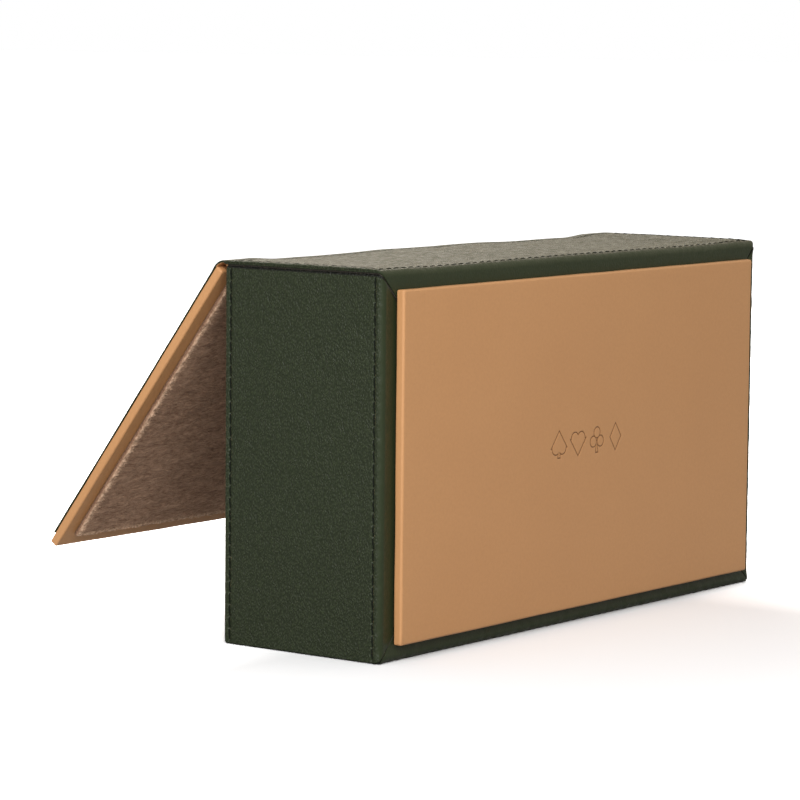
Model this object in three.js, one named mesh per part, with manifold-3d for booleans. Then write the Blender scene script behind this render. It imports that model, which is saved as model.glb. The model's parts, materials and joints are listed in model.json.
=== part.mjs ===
// Card deck box: a leatherette-wrapped board box that stands on one long wall. The base carries a raised
// panel, the mouth is closed by a padded flap lid, and the lid hangs on a leatherette hinge along the
// upper long wall. X runs along the long walls, -Y is the base side, +Y the mouth, Z is up, in millimetres.
// The origin is the middle of the long wall that the box stands on.

import * as THREE from 'three';
import { mergeVertices } from 'three/addons/utils/BufferGeometryUtils.js';
import Module from 'manifold-3d';

const wasm = await Module();
wasm.setup();

// ---------------------------------------------------------------- driving dimensions

// Shell
const LENGTH = 226.2; // over the two short ends
const HEIGHT = 125.0; // from the resting face to the top of the hinge wall's board
const DEPTH = 64.2; // from the base side to the mouth's rim
const SHELL_BOARD = 2.8;
const COVER = 0.6; // green leatherette
const LINING = 0.5; // plush
const GLUE = 0.1; // glue line between two layers
const BASE_TURN_IN = 12; // how far a cover is turned over the base
const EDGE_RADIUS = 0.6; // outer edge of a folded cover
const MITRE_GAP = 0.15;

// Stitching
const STITCH_PITCH = 3.9;
const GROOVE_WIDTH = 0.7;
const GROOVE_DEPTH = 0.4;
const THREAD_WIDTH = 0.5;
const THREAD_HEIGHT = 0.22;
const THREAD_DIP = 0.1; // how far a thread drops at each needle hole
const THREAD_SINK = 0.05; // top of a thread below the leatherette's surface
const BASE_SEAM = 2.9; // from the base side's plane
const MOUTH_SEAM = 2.4; // from the rim's plane
const SHORT_EDGE_SEAM = 1.9; // on the spine cover, from the short ends' plane
const SEAM_END = 1.2; // a thread stops short of the corner

// Spine cover: one strip over the hinge wall, turned down over the base
const SPINE = 0.9;
const SPINE_OVERHANG = 0.3;
const SPINE_LAP = 0.2; // the strip's upper part and the part turned down share this much height

// Wrapped boards: the raised base panel and the lid share one layer stack
const PANEL_BOARD = 2.1;
const TAN_COVER = 0.45;
const PANEL_TURN_IN = 14;
const PANEL_EDGE_RADIUS = 0.9;
const PANEL_END_MARGIN = 7.2; // base panel to the short ends
const PANEL_SIDE_MARGIN = 5.4; // base panel to the long walls

// Lid
const LID_OPEN_DEG = 36.9; // angle of the lid at rest, from closed
const LID_GAP = 0.3; // closed lid to the rim
const LID_END_INSET = 0.6; // lid to the short ends
const LID_TOP = 1.3; // hinge axis to the lid's hinged edge
const LID_REACH = 123.5; // hinge axis to the lid's free edge
const LID_SKIN = 0.5;
const SKIN_TOP = 1.1; // hinge axis to the skin's first edge
const SKIN_SETBACK = 3.6; // skin to the lid's free edge
const SKIN_GROOVE_DEPTH = 0.3;
const SKIN_THREAD_HEIGHT = 0.18;
const SKIN_HINGE_SEAM = 5.0; // hinge axis to the first seam
const PAD_SIDE_INSET = 5.4;
const PAD_FREE_INSET = 5.5;
const PAD_TOP_INSET = 3.2;
const PAD_CARD = 0.6;
const PAD_PLUSH = 1.1;
const PAD_CORNER_RADIUS = 1.5;

// Inside
const WELLS = 3;
const DIVIDER_CORE = 1.8;
const DIVIDER_COVER = 0.6;
const DIVIDER_HEIGHT = 50;
const DIVIDER_END_GAP = 0.3;
const HINGE_LINING_FLANGE = 11.6;

// Closure magnets, in the short ends' boards and in the lid's board
const MAGNET_FROM_FREE_EDGE = 8;
const MAGNET_LENGTH = 12;
const WALL_MAGNET_DEPTH = 4;
const WALL_MAGNET_T = 2.4;
const LID_MAGNET_WIDTH = 3;
const LID_MAGNET_T = 1.7;
const MAGNET_CLEARANCE = 0.1;

// ---------------------------------------------------------------- derived places

const END_X = LENGTH / 2;
const BASE_Y = -DEPTH / 2;
const MOUTH_Y = DEPTH / 2;
const BOARD_IN = COVER + GLUE; // outer face of a cover to its board
const WALL = BOARD_IN + SHELL_BOARD + GLUE + LINING;
const LINING_IN = WALL - LINING;
const BOARD_X = END_X - BOARD_IN - SHELL_BOARD; // inner face of a short end's board
const BOARD_Y = MOUTH_Y - BOARD_IN; // boards stop here, under the covers' turned edges
const HINGE_BOARD_Z = HEIGHT - SHELL_BOARD;
const HINGE_LINING_Z = HINGE_BOARD_Z - GLUE - LINING; // inner face of the hinge wall
const FLOOR_Y = BASE_Y + WALL; // inner face of the floor
const PANEL_STACK = 2 * TAN_COVER + 2 * GLUE + PANEL_BOARD;
const HINGE_Y = MOUTH_Y + LID_GAP + PANEL_STACK + GLUE + LID_SKIN / 2;
const HINGE_Z = HEIGHT + GLUE + SPINE / 2; // halfway through the spine cover
const LID_X = END_X - LID_END_INSET;
const SPINE_TOP_Z = HEIGHT + GLUE + SPINE;
const SPINE_SHORT_SEAM_X = END_X - SHORT_EDGE_SEAM;
const LID_FACE_N = -(LID_SKIN / 2 + GLUE + PANEL_STACK); // inner face, from the hinge axis

// ---------------------------------------------------------------- materials

const finishes = {
  green: { color: 0x3c4434, roughness: 0.62, metalness: 0 },
  tan: { color: 0xb78a60, roughness: 0.5, metalness: 0 },
  plush: { color: 0x6f5a4b, roughness: 0.95, metalness: 0 },
  board: { color: 0x8d8579, roughness: 0.9, metalness: 0 },
  thread: { color: 0x1b2019, roughness: 0.8, metalness: 0 },
  magnet: { color: 0x9a9ca0, roughness: 0.35, metalness: 1 },
};

function addMesh(parent, name, geometry, finish) {
  const mesh = new THREE.Mesh(geometry, new THREE.MeshStandardMaterial(finishes[finish]));
  mesh.name = name;
  parent.add(mesh);
  return mesh;
}

// A rectangular piece given by its extents along each axis
function addBox(parent, name, finish, [x0, x1], [y0, y1], [z0, z1]) {
  const mesh = addMesh(parent, name, new THREE.BoxGeometry(x1 - x0, y1 - y0, z1 - z0), finish);
  mesh.position.set((x0 + x1) / 2, (y0 + y1) / 2, (z0 + z1) / 2);
  return mesh;
}

// ---------------------------------------------------------------- solids

function toSolid(geometry) {
  const bare = geometry.clone();
  bare.deleteAttribute('normal');
  bare.deleteAttribute('uv');
  const merged = mergeVertices(bare, 1e-5);
  const vertProperties = new Float32Array(merged.attributes.position.array);
  const triVerts = new Uint32Array(merged.index.array);
  return new wasm.Manifold(new wasm.Mesh({ numProp: 3, vertProperties, triVerts }));
}

function toGeometry(solid) {
  const mesh = solid.getMesh();
  const geometry = new THREE.BufferGeometry();
  geometry.setAttribute('position', new THREE.BufferAttribute(new Float32Array(mesh.vertProperties), 3));
  geometry.setIndex(new THREE.BufferAttribute(new Uint32Array(mesh.triVerts), 1));
  geometry.computeVertexNormals();
  return geometry;
}

function boxSolid([x0, x1], [y0, y1], [z0, z1]) {
  const box = new THREE.BoxGeometry(x1 - x0, y1 - y0, z1 - z0);
  box.translate((x0 + x1) / 2, (y0 + y1) / 2, (z0 + z1) / 2);
  return toSolid(box);
}

// A profile swept along a wall. The profile's x is the depth in from the outer face, its y the place
// between base and mouth. Both ends are mitred at 45 degrees, so deeper points start further in.
function mitredSweep(profile, halfLength) {
  const options = { depth: 1, bevelEnabled: false, curveSegments: 3 };
  const geometry = new THREE.ExtrudeGeometry(profile, options);
  const place = geometry.attributes.position;
  for (let i = 0; i < place.count; i += 1) {
    const reach = halfLength - place.getX(i) - MITRE_GAP;
    place.setZ(i, place.getZ(i) > 0.5 ? reach : -reach);
  }
  geometry.computeVertexNormals();
  return geometry;
}

// A profile swept straight through, centred on its own plane
function straightSweep(profile, length) {
  const options = { depth: length, bevelEnabled: false, curveSegments: 4 };
  const geometry = new THREE.ExtrudeGeometry(profile, options);
  geometry.translate(0, 0, -length / 2);
  return geometry;
}

function polygon(points) {
  return new THREE.Shape(points.map(([x, y]) => new THREE.Vector2(x, y)));
}

// ---------------------------------------------------------------- shell covers

// Section of a wall cover: turned over the base, up the outer face past two sewing grooves, over the rim
function wallCoverProfile() {
  const shape = new THREE.Shape();
  const r = EDGE_RADIUS;
  shape.moveTo(BASE_TURN_IN, BASE_Y + COVER);
  shape.lineTo(COVER, BASE_Y + COVER);
  shape.lineTo(COVER, MOUTH_Y - COVER);
  shape.lineTo(WALL, MOUTH_Y - COVER);
  shape.lineTo(WALL, MOUTH_Y);
  shape.lineTo(r, MOUTH_Y);
  shape.absarc(r, MOUTH_Y - r, r, Math.PI / 2, Math.PI, false);
  for (const seam of [MOUTH_Y - MOUTH_SEAM, BASE_Y + BASE_SEAM]) {
    shape.lineTo(0, seam + GROOVE_WIDTH / 2);
    shape.lineTo(GROOVE_DEPTH, seam + GROOVE_WIDTH / 2);
    shape.lineTo(GROOVE_DEPTH, seam - GROOVE_WIDTH / 2);
    shape.lineTo(0, seam - GROOVE_WIDTH / 2);
  }
  shape.lineTo(0, BASE_Y + r);
  shape.absarc(r, BASE_Y + r, r, Math.PI, 1.5 * Math.PI, false);
  shape.lineTo(BASE_TURN_IN, BASE_Y);
  shape.closePath();
  return shape;
}

function addWallCovers(parent) {
  const profile = wallCoverProfile();
  const left = addMesh(parent, 'left_end_cover', mitredSweep(profile, HEIGHT / 2), 'green');
  left.position.set(-END_X, 0, HEIGHT / 2);

  // the same piece, seen from the other end
  const right = addMesh(parent, 'right_end_cover', mirrorX(mitredSweep(profile, HEIGHT / 2)), 'green');
  right.position.set(END_X, 0, HEIGHT / 2);

  const rest = addMesh(parent, 'rest_wall_cover', mitredSweep(profile, LENGTH / 2), 'green');
  rest.rotation.y = -Math.PI / 2; // depth points up, length runs along X
}

function mirrorX(geometry) {
  geometry.scale(-1, 1, 1);
  const place = geometry.attributes.position;
  for (let i = 0; i < place.count; i += 3) {
    const keep = [place.getX(i), place.getY(i), place.getZ(i)];
    place.setXYZ(i, place.getX(i + 1), place.getY(i + 1), place.getZ(i + 1));
    place.setXYZ(i + 1, ...keep);
  }
  geometry.computeVertexNormals();
  return geometry;
}

// Section of the spine cover across the hinge wall: Y to the right, Z up. Its mouth edge is rounded about
// the hinge axis, where the leatherette creases.
function spineSheetProfile() {
  const under = HEIGHT + GLUE;
  const shape = new THREE.Shape();
  shape.moveTo(BASE_Y, under);
  shape.lineTo(HINGE_Y, under);
  shape.absarc(HINGE_Y, HINGE_Z, SPINE / 2, -Math.PI / 2, Math.PI / 2, false);
  for (const seam of [MOUTH_Y - MOUTH_SEAM, BASE_Y + BASE_SEAM]) {
    shape.lineTo(seam + GROOVE_WIDTH / 2, SPINE_TOP_Z);
    shape.lineTo(seam + GROOVE_WIDTH / 2, SPINE_TOP_Z - GROOVE_DEPTH);
    shape.lineTo(seam - GROOVE_WIDTH / 2, SPINE_TOP_Z - GROOVE_DEPTH);
    shape.lineTo(seam - GROOVE_WIDTH / 2, SPINE_TOP_Z);
  }
  shape.lineTo(BASE_Y + SPINE, SPINE_TOP_Z);
  shape.absarc(BASE_Y + SPINE, under, SPINE, Math.PI / 2, Math.PI, false);
  shape.closePath();
  return shape;
}

// Turns a sweep made along Z, with its profile in (Y, Z), so that it runs along X
function layAlongX(geometry) {
  const turn = new THREE.Matrix4().set(0, 0, 1, 0, 1, 0, 0, 0, 0, 1, 0, 0, 0, 0, 0, 1);
  return geometry.applyMatrix4(turn);
}

// The part of a top-wall piece that meets the short ends' covers in a mitre. t is the depth below HEIGHT.
function topMitredSolid([t0, t1], [y0, y1]) {
  const sweep = mitredSweep(polygon([[t0, y0], [t1, y0], [t1, y1], [t0, y1]]), LENGTH / 2);
  sweep.rotateY(Math.PI / 2); // depth points down
  sweep.translate(0, 0, HEIGHT);
  return toSolid(sweep);
}

function addSpineCover(parent) {
  const sheet = toSolid(layAlongX(straightSweep(spineSheetProfile(), LENGTH + 2 * SPINE_OVERHANG)));
  const turnDown = topMitredSolid([-SPINE_LAP, BASE_TURN_IN], [BASE_Y, BASE_Y + COVER]);
  const seamY = [BASE_Y + BASE_SEAM, MOUTH_Y - MOUTH_SEAM];
  let cover = sheet.add(turnDown);
  for (const x of [-SPINE_SHORT_SEAM_X, SPINE_SHORT_SEAM_X]) {
    const acrossX = [x - GROOVE_WIDTH / 2, x + GROOVE_WIDTH / 2];
    cover = cover.subtract(boxSolid(acrossX, seamY, [SPINE_TOP_Z - GROOVE_DEPTH, SPINE_TOP_Z + SPINE]));
  }
  addMesh(parent, 'spine_cover', toGeometry(cover), 'green');
}

// Tan lining of the hinge: covers the hinge wall's rim and runs a short way inside
function addHingeLining(parent) {
  const rim = topMitredSolid([0, HEIGHT - HINGE_LINING_Z], [MOUTH_Y - COVER, MOUTH_Y]);
  const flange = boxSolid(
    [-BOARD_X + GLUE, BOARD_X - GLUE],
    [MOUTH_Y - HINGE_LINING_FLANGE, MOUTH_Y],
    [HINGE_LINING_Z, HINGE_LINING_Z + LINING],
  );
  addMesh(parent, 'hinge_lining', toGeometry(rim.add(flange)), 'tan');
}

// ---------------------------------------------------------------- boards and linings

// A short end's board with a notch in its rim for a closure magnet, drawn in (Y, Z)
function endBoardProfile() {
  const z0 = BOARD_IN + SHELL_BOARD + GLUE;
  const z1 = HINGE_BOARD_Z - GLUE;
  const notchY = BOARD_Y - WALL_MAGNET_DEPTH - MAGNET_CLEARANCE;
  const low = magnetLow() - MAGNET_CLEARANCE;
  const high = magnetLow() + MAGNET_LENGTH + MAGNET_CLEARANCE;
  return polygon([
    [-BOARD_Y, z0], [BOARD_Y, z0], [BOARD_Y, low], [notchY, low],
    [notchY, high], [BOARD_Y, high], [BOARD_Y, z1], [-BOARD_Y, z1],
  ]);
}

// Lower end of the magnets, with the lid closed
function magnetLow() {
  return HINGE_Z - LID_REACH + MAGNET_FROM_FREE_EDGE;
}

function addShellBoards(parent) {
  const outerX = END_X - BOARD_IN;
  const acrossY = [-BOARD_Y, BOARD_Y];
  addBox(parent, 'rest_wall_board', 'board', [-outerX, outerX], acrossY, [BOARD_IN, BOARD_IN + SHELL_BOARD]);
  addBox(parent, 'hinge_wall_board', 'board', [-outerX, outerX], acrossY, [HINGE_BOARD_Z, HEIGHT]);
  const floorX = [-BOARD_X + GLUE, BOARD_X - GLUE];
  const floorZ = [BOARD_IN + SHELL_BOARD + GLUE, HINGE_BOARD_Z - GLUE];
  addBox(parent, 'floor_board', 'board', floorX, [-BOARD_Y, -BOARD_Y + SHELL_BOARD], floorZ);
  for (const [side, sign] of [['left', -1], ['right', 1]]) {
    const board = layAlongX(straightSweep(endBoardProfile(), SHELL_BOARD));
    const mesh = addMesh(parent, `${side}_end_board`, board, 'board');
    mesh.position.x = sign * (BOARD_X + SHELL_BOARD / 2);
  }
}

function addLinings(parent) {
  const wallY = [FLOOR_Y - LINING + GLUE, BOARD_Y];
  const wide = BOARD_X - GLUE;
  const innerX = END_X - WALL;
  addBox(parent, 'floor_lining', 'plush', [-innerX + GLUE, innerX - GLUE], [FLOOR_Y - LINING, FLOOR_Y],
    [WALL + GLUE, HINGE_LINING_Z - GLUE]);
  addBox(parent, 'rest_wall_lining', 'plush', [-wide, wide], wallY, [LINING_IN, WALL]);
  addBox(parent, 'hinge_wall_lining', 'plush', [-wide, wide],
    [wallY[0], MOUTH_Y - HINGE_LINING_FLANGE - GLUE], [HINGE_LINING_Z, HINGE_LINING_Z + LINING]);
  for (const [side, sign] of [['left', -1], ['right', 1]]) {
    const faces = [sign * innerX, sign * (innerX + LINING)].sort((a, b) => a - b);
    addBox(parent, `${side}_end_lining`, 'plush', faces, wallY, [WALL + GLUE, HINGE_LINING_Z - GLUE]);
  }
}

// A divider is a board with plush folded over its rim, down both faces
function addDividers(parent) {
  const thick = DIVIDER_CORE + 2 * (DIVIDER_COVER + GLUE);
  const inner = 2 * (END_X - WALL);
  const well = (inner - (WELLS - 1) * thick) / WELLS;
  const foot = FLOOR_Y + GLUE;
  const rim = foot + DIVIDER_HEIGHT;
  const spanZ = [WALL + DIVIDER_END_GAP, HINGE_LINING_Z - DIVIDER_END_GAP];
  for (let i = 1; i < WELLS; i += 1) {
    const x = -inner / 2 + i * well + (i - 0.5) * thick;
    const half = DIVIDER_CORE / 2;
    addBox(parent, `divider_${i}_core`, 'board', [x - half, x + half],
      [foot, rim - DIVIDER_COVER - GLUE], spanZ);
    const fold = polygon([
      [-thick / 2, foot], [-thick / 2, rim], [thick / 2, rim], [thick / 2, foot],
      [half + GLUE, foot], [half + GLUE, rim - DIVIDER_COVER],
      [-half - GLUE, rim - DIVIDER_COVER], [-half - GLUE, foot],
    ]);
    const cover = addMesh(parent, `divider_${i}_cover`, straightSweep(fold, spanZ[1] - spanZ[0]), 'plush');
    cover.position.set(x, 0, (spanZ[0] + spanZ[1]) / 2);
  }
}

// ---------------------------------------------------------------- wrapped boards

// Slab with softly rounded edges, centred on the origin, its thickness along Y
function softSlab(width, height, thickness, radius) {
  const w = width / 2 - radius;
  const h = height / 2 - radius;
  const outline = polygon([[-w, -h], [w, -h], [w, h], [-w, h]]);
  const slab = new THREE.ExtrudeGeometry(outline, {
    depth: thickness - 2 * radius,
    bevelThickness: radius,
    bevelSize: radius,
    bevelSegments: 3,
  });
  slab.translate(0, 0, radius - thickness / 2);
  slab.rotateX(Math.PI / 2);
  return slab;
}

// Leatherette wrapped round a board: face at -Y, turned over the four edges, open in the middle at +Y
function wrapGeometry(width, height) {
  const half = PANEL_STACK / 2;
  const outer = toSolid(softSlab(width, height, PANEL_STACK, PANEL_EDGE_RADIUS));
  const pocketX = width / 2 - TAN_COVER;
  const pocketZ = height / 2 - TAN_COVER;
  const pocket = boxSolid([-pocketX, pocketX], [-half + TAN_COVER, half - TAN_COVER], [-pocketZ, pocketZ]);
  const openX = width / 2 - PANEL_TURN_IN;
  const openZ = height / 2 - PANEL_TURN_IN;
  const opening = boxSolid([-openX, openX], [0, half + 1], [-openZ, openZ]);
  return toGeometry(outer.subtract(pocket.add(opening)));
}

// Board that fills the wrap, with rectangular pockets right through it given as [[x0, x1], [z0, z1]]
function wrappedBoardGeometry(width, height, pockets) {
  const x = width / 2 - TAN_COVER - GLUE;
  const z = height / 2 - TAN_COVER - GLUE;
  let board = boxSolid([-x, x], [-PANEL_BOARD / 2, PANEL_BOARD / 2], [-z, z]);
  for (const [acrossX, acrossZ] of pockets) {
    board = board.subtract(boxSolid(acrossX, [-PANEL_BOARD, PANEL_BOARD], acrossZ));
  }
  return toGeometry(board);
}

function addBasePanel(parent) {
  const width = LENGTH - 2 * PANEL_END_MARGIN;
  const height = HEIGHT - 2 * PANEL_SIDE_MARGIN;
  const panel = new THREE.Group();
  panel.position.set(0, BASE_Y - GLUE - PANEL_STACK / 2, HEIGHT / 2);
  addMesh(panel, 'base_panel_cover', wrapGeometry(width, height), 'tan');
  addMesh(panel, 'base_panel_board', wrappedBoardGeometry(width, height, []), 'board');
  parent.add(panel);
}

// ---------------------------------------------------------------- stitching

// One seam's thread: long flat loops that dip at each needle hole. X runs along the seam, the thread's
// top is at Y = 0 and Y points out of the leatherette.
function threadGeometry(length, height) {
  const stitches = Math.round(length / STITCH_PITCH);
  const pitch = length / stitches;
  const crown = [];
  for (let i = 0; i < stitches; i += 1) {
    const start = length / 2 - i * pitch;
    crown.push([start, -THREAD_DIP], [start - pitch / 2, 0]);
  }
  const outline = [[-length / 2, -THREAD_DIP], [-length / 2, -height], [length / 2, -height], ...crown];
  return straightSweep(polygon(outline), THREAD_WIDTH);
}

function addSpineShortThreads(parent) {
  const y0 = BASE_Y + BASE_SEAM + GROOVE_WIDTH;
  const y1 = MOUTH_Y - MOUTH_SEAM - GROOVE_WIDTH;
  for (const [side, sign] of [['left', -1], ['right', 1]]) {
    const thread = addMesh(parent, `spine_${side}_seam`, threadGeometry(y1 - y0, THREAD_HEIGHT), 'thread');
    thread.rotation.set(Math.PI / 2, 0, Math.PI / 2, 'ZYX');
    thread.position.set(sign * SPINE_SHORT_SEAM_X, (y0 + y1) / 2, SPINE_TOP_Z - THREAD_SINK);
  }
}

function addShellThreads(parent) {
  const rows = [['mouth', MOUTH_Y - MOUTH_SEAM], ['base', BASE_Y + BASE_SEAM]];
  const endLength = HEIGHT - 2 * SEAM_END;
  const wallLength = LENGTH - 2 * SEAM_END;
  const upright = new THREE.Vector3(0, 0, 1);
  for (const [row, y] of rows) {
    for (const [side, sign] of [['left', -1], ['right', 1]]) {
      const endThread = threadGeometry(endLength, THREAD_HEIGHT);
      const end = addMesh(parent, `${side}_end_${row}_seam`, endThread, 'thread');
      const outward = new THREE.Vector3(sign, 0, 0);
      const basis = new THREE.Matrix4().makeBasis(upright, outward, upright.clone().cross(outward));
      end.quaternion.setFromRotationMatrix(basis);
      end.position.set(sign * (END_X - THREAD_SINK), y, HEIGHT / 2);
    }
    const restThread = threadGeometry(wallLength, THREAD_HEIGHT);
    const rest = addMesh(parent, `rest_wall_${row}_seam`, restThread, 'thread');
    rest.rotation.x = -Math.PI / 2;
    rest.position.set(0, y, THREAD_SINK);
    const spine = addMesh(parent, `spine_${row}_seam`, threadGeometry(wallLength, THREAD_HEIGHT), 'thread');
    spine.rotation.x = Math.PI / 2;
    spine.position.set(0, y, SPINE_TOP_Z - THREAD_SINK);
  }
}

// ---------------------------------------------------------------- closure magnets in the shell

function addWallMagnets(parent) {
  const across = BOARD_X + SHELL_BOARD / 2;
  for (const [side, sign] of [['left', -1], ['right', 1]]) {
    addBox(parent, `${side}_wall_magnet`, 'magnet',
      [sign * across - WALL_MAGNET_T / 2, sign * across + WALL_MAGNET_T / 2],
      [BOARD_Y - WALL_MAGNET_DEPTH, BOARD_Y],
      [magnetLow(), magnetLow() + MAGNET_LENGTH]);
  }
}

// ---------------------------------------------------------------- lid

// The lid is drawn closed, hanging down from the hinge axis: Y is outwards, -Z is towards the free edge
function addLid(parent) {
  const lid = new THREE.Group();
  lid.position.set(0, HINGE_Y, HINGE_Z);
  lid.rotation.x = LID_OPEN_DEG * THREE.MathUtils.DEG2RAD;
  addWrappedLidBoard(lid);
  addLidSkin(lid);
  addLidPad(lid);
  parent.add(lid);
}

function addWrappedLidBoard(lid) {
  const width = 2 * LID_X;
  const height = LID_REACH - LID_TOP;
  const middleN = LID_FACE_N + PANEL_STACK / 2;
  const middleZ = -(LID_TOP + LID_REACH) / 2;
  const magnetX = LID_X - TAN_COVER - 2 * GLUE - LID_MAGNET_WIDTH / 2 - MAGNET_CLEARANCE;
  const magnetZ = -LID_REACH + MAGNET_FROM_FREE_EDGE;
  const alongZ = [magnetZ, magnetZ + MAGNET_LENGTH];
  const alongN = [middleN - LID_MAGNET_T / 2, middleN + LID_MAGNET_T / 2];
  const pockets = [];
  for (const [side, sign] of [['left', -1], ['right', 1]]) {
    const alongX = [sign * magnetX - LID_MAGNET_WIDTH / 2, sign * magnetX + LID_MAGNET_WIDTH / 2];
    addBox(lid, `${side}_lid_magnet`, 'magnet', alongX, alongN, alongZ);
    pockets.push([
      [alongX[0] - MAGNET_CLEARANCE, alongX[1] + MAGNET_CLEARANCE],
      [alongZ[0] - middleZ - MAGNET_CLEARANCE, alongZ[1] - middleZ + MAGNET_CLEARANCE],
    ]);
  }
  const wrapped = new THREE.Group();
  wrapped.position.set(0, middleN, middleZ);
  addMesh(wrapped, 'lid_cover', wrapGeometry(width, height), 'tan');
  addMesh(wrapped, 'lid_board', wrappedBoardGeometry(width, height, pockets), 'board');
  lid.add(wrapped);
}

// Green outer skin of the lid with a seam by the hinge and one by the free edge
function addLidSkin(lid) {
  const half = LID_SKIN / 2;
  const first = -SKIN_TOP;
  const last = -(LID_REACH - SKIN_SETBACK);
  const seams = [['hinge', -SKIN_HINGE_SEAM], ['free_edge', last + BASE_SEAM]];
  const outline = [[-half, last], [half, last]];
  for (const [, z] of [...seams].reverse()) {
    outline.push(
      [half, z - GROOVE_WIDTH / 2], [half - SKIN_GROOVE_DEPTH, z - GROOVE_WIDTH / 2],
      [half - SKIN_GROOVE_DEPTH, z + GROOVE_WIDTH / 2], [half, z + GROOVE_WIDTH / 2],
    );
  }
  outline.push([half, first], [-half, first]);
  addMesh(lid, 'lid_skin', layAlongX(straightSweep(polygon(outline), 2 * LID_X)), 'green');
  for (const [row, z] of seams) {
    const length = 2 * (LID_X - SEAM_END);
    const thread = addMesh(lid, `lid_${row}_seam`, threadGeometry(length, SKIN_THREAD_HEIGHT), 'thread');
    thread.position.set(0, half - THREAD_SINK, z);
  }
}

// Plush pad on the lid's inner face: a card with plush folded over its edges
function addLidPad(lid) {
  const x = LID_X - PAD_SIDE_INSET;
  const z0 = -(LID_REACH - PAD_FREE_INSET);
  const z1 = -(LID_TOP + PAD_TOP_INSET);
  const back = LID_FACE_N - GLUE;
  const face = back - PAD_CARD - GLUE - PAD_PLUSH;
  const card = PAD_PLUSH + GLUE;
  const cardY = [back - PAD_CARD, back];
  addBox(lid, 'lid_pad_card', 'board', [-x + card, x - card], cardY, [z0 + card, z1 - card]);

  const r = PAD_CORNER_RADIUS;
  const outline = new THREE.Shape();
  outline.moveTo(-x + r, z0);
  outline.absarc(x - r, z0 + r, r, -Math.PI / 2, 0, false);
  outline.absarc(x - r, z1 - r, r, 0, Math.PI / 2, false);
  outline.absarc(-x + r, z1 - r, r, Math.PI / 2, Math.PI, false);
  outline.absarc(-x + r, z0 + r, r, Math.PI, 1.5 * Math.PI, false);
  outline.closePath();
  const slab = straightSweep(outline, back - face);
  slab.rotateX(Math.PI / 2);
  slab.translate(0, (back + face) / 2, 0);
  const hollow = boxSolid(
    [-x + PAD_PLUSH, x - PAD_PLUSH],
    [face + PAD_PLUSH, back + 1],
    [z0 + PAD_PLUSH, z1 - PAD_PLUSH],
  );
  addMesh(lid, 'lid_pad_plush', toGeometry(toSolid(slab).subtract(hollow)), 'plush');
}

// ---------------------------------------------------------------- the whole box

const box = new THREE.Group();
box.name = 'card_deck_box';
addShellBoards(box);
addWallCovers(box);
addSpineCover(box);
addHingeLining(box);
addLinings(box);
addDividers(box);
addWallMagnets(box);
addBasePanel(box);
addShellThreads(box);
addSpineShortThreads(box);
addLid(box);

export default box;
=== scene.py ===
"""Looks of the card deck box: leatherette, stitching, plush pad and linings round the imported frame.

Lengths are in millimetres until make_object() turns them into metres. X runs along the long walls,
-Y is the base side with its raised panel, +Y the mouth, and Z is up. On the lid, s is the distance
from the hinge axis towards the free edge and n the distance outwards from the axis."""

import json
import math

import bpy
import numpy as np
from mathutils import Matrix, Vector


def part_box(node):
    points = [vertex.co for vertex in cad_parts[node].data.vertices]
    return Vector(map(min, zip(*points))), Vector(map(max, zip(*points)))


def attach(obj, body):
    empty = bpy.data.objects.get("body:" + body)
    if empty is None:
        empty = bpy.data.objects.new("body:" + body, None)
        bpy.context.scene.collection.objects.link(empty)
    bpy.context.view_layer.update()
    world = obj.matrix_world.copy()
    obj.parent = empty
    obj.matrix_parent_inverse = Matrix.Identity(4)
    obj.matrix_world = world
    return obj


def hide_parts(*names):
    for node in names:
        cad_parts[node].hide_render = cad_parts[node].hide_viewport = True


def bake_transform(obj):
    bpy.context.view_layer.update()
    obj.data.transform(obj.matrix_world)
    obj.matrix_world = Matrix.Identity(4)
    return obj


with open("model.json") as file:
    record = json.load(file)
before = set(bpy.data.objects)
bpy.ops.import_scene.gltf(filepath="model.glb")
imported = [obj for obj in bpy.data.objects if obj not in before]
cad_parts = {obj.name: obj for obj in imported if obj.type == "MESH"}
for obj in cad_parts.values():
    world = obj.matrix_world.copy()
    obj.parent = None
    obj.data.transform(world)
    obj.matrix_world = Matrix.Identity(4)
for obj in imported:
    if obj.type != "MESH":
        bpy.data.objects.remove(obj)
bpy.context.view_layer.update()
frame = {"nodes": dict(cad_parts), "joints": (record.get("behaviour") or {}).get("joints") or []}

MM = 0.001

# ---- sizes of the soft detail, in mm

PITCH = 3.9  # one stitch
SEAM_END = 1.2  # a seam stops short of the sheet's end
SHORT_SEAM_GAPS = 1.4  # between the spine cover's short seams and its two long ones, together
GROOVE = 0.2  # depth of the furrow that a seam pulls
GROOVE_REACH = 0.5
HOLE = 0.42  # depth of the dimple at a needle hole
HOLE_REACH = 0.4
PUFF = 0.16  # swelling beside a seam, between two holes
PUFF_PLACE = 1.15
PUFF_REACH = 0.75
INNER_PUFF = 0.35  # share of the swelling on the sheet's side
LID_PUFF = 0.08
MOUTH_PUFF = 0.05  # beside the hinge
SPINE_BASE_HOLE = 0.15
THREAD_RADIUS = 0.29
THREAD_TWIST = 0.13  # share of the radius
THREAD_DEPTH = 0.5  # of a thread's ends under the leatherette
THREAD_ARCH = 0.42  # how far its middle rises from there
STITCH_SLANT = 0.2
PROUD_THREAD = 0.03  # the spine's threads stand higher
SUNK_THREAD = 0.2  # but lie deep in the furrow beside the hinge
STITCH_SIDES = 8
STITCH_RINGS = 12

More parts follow.
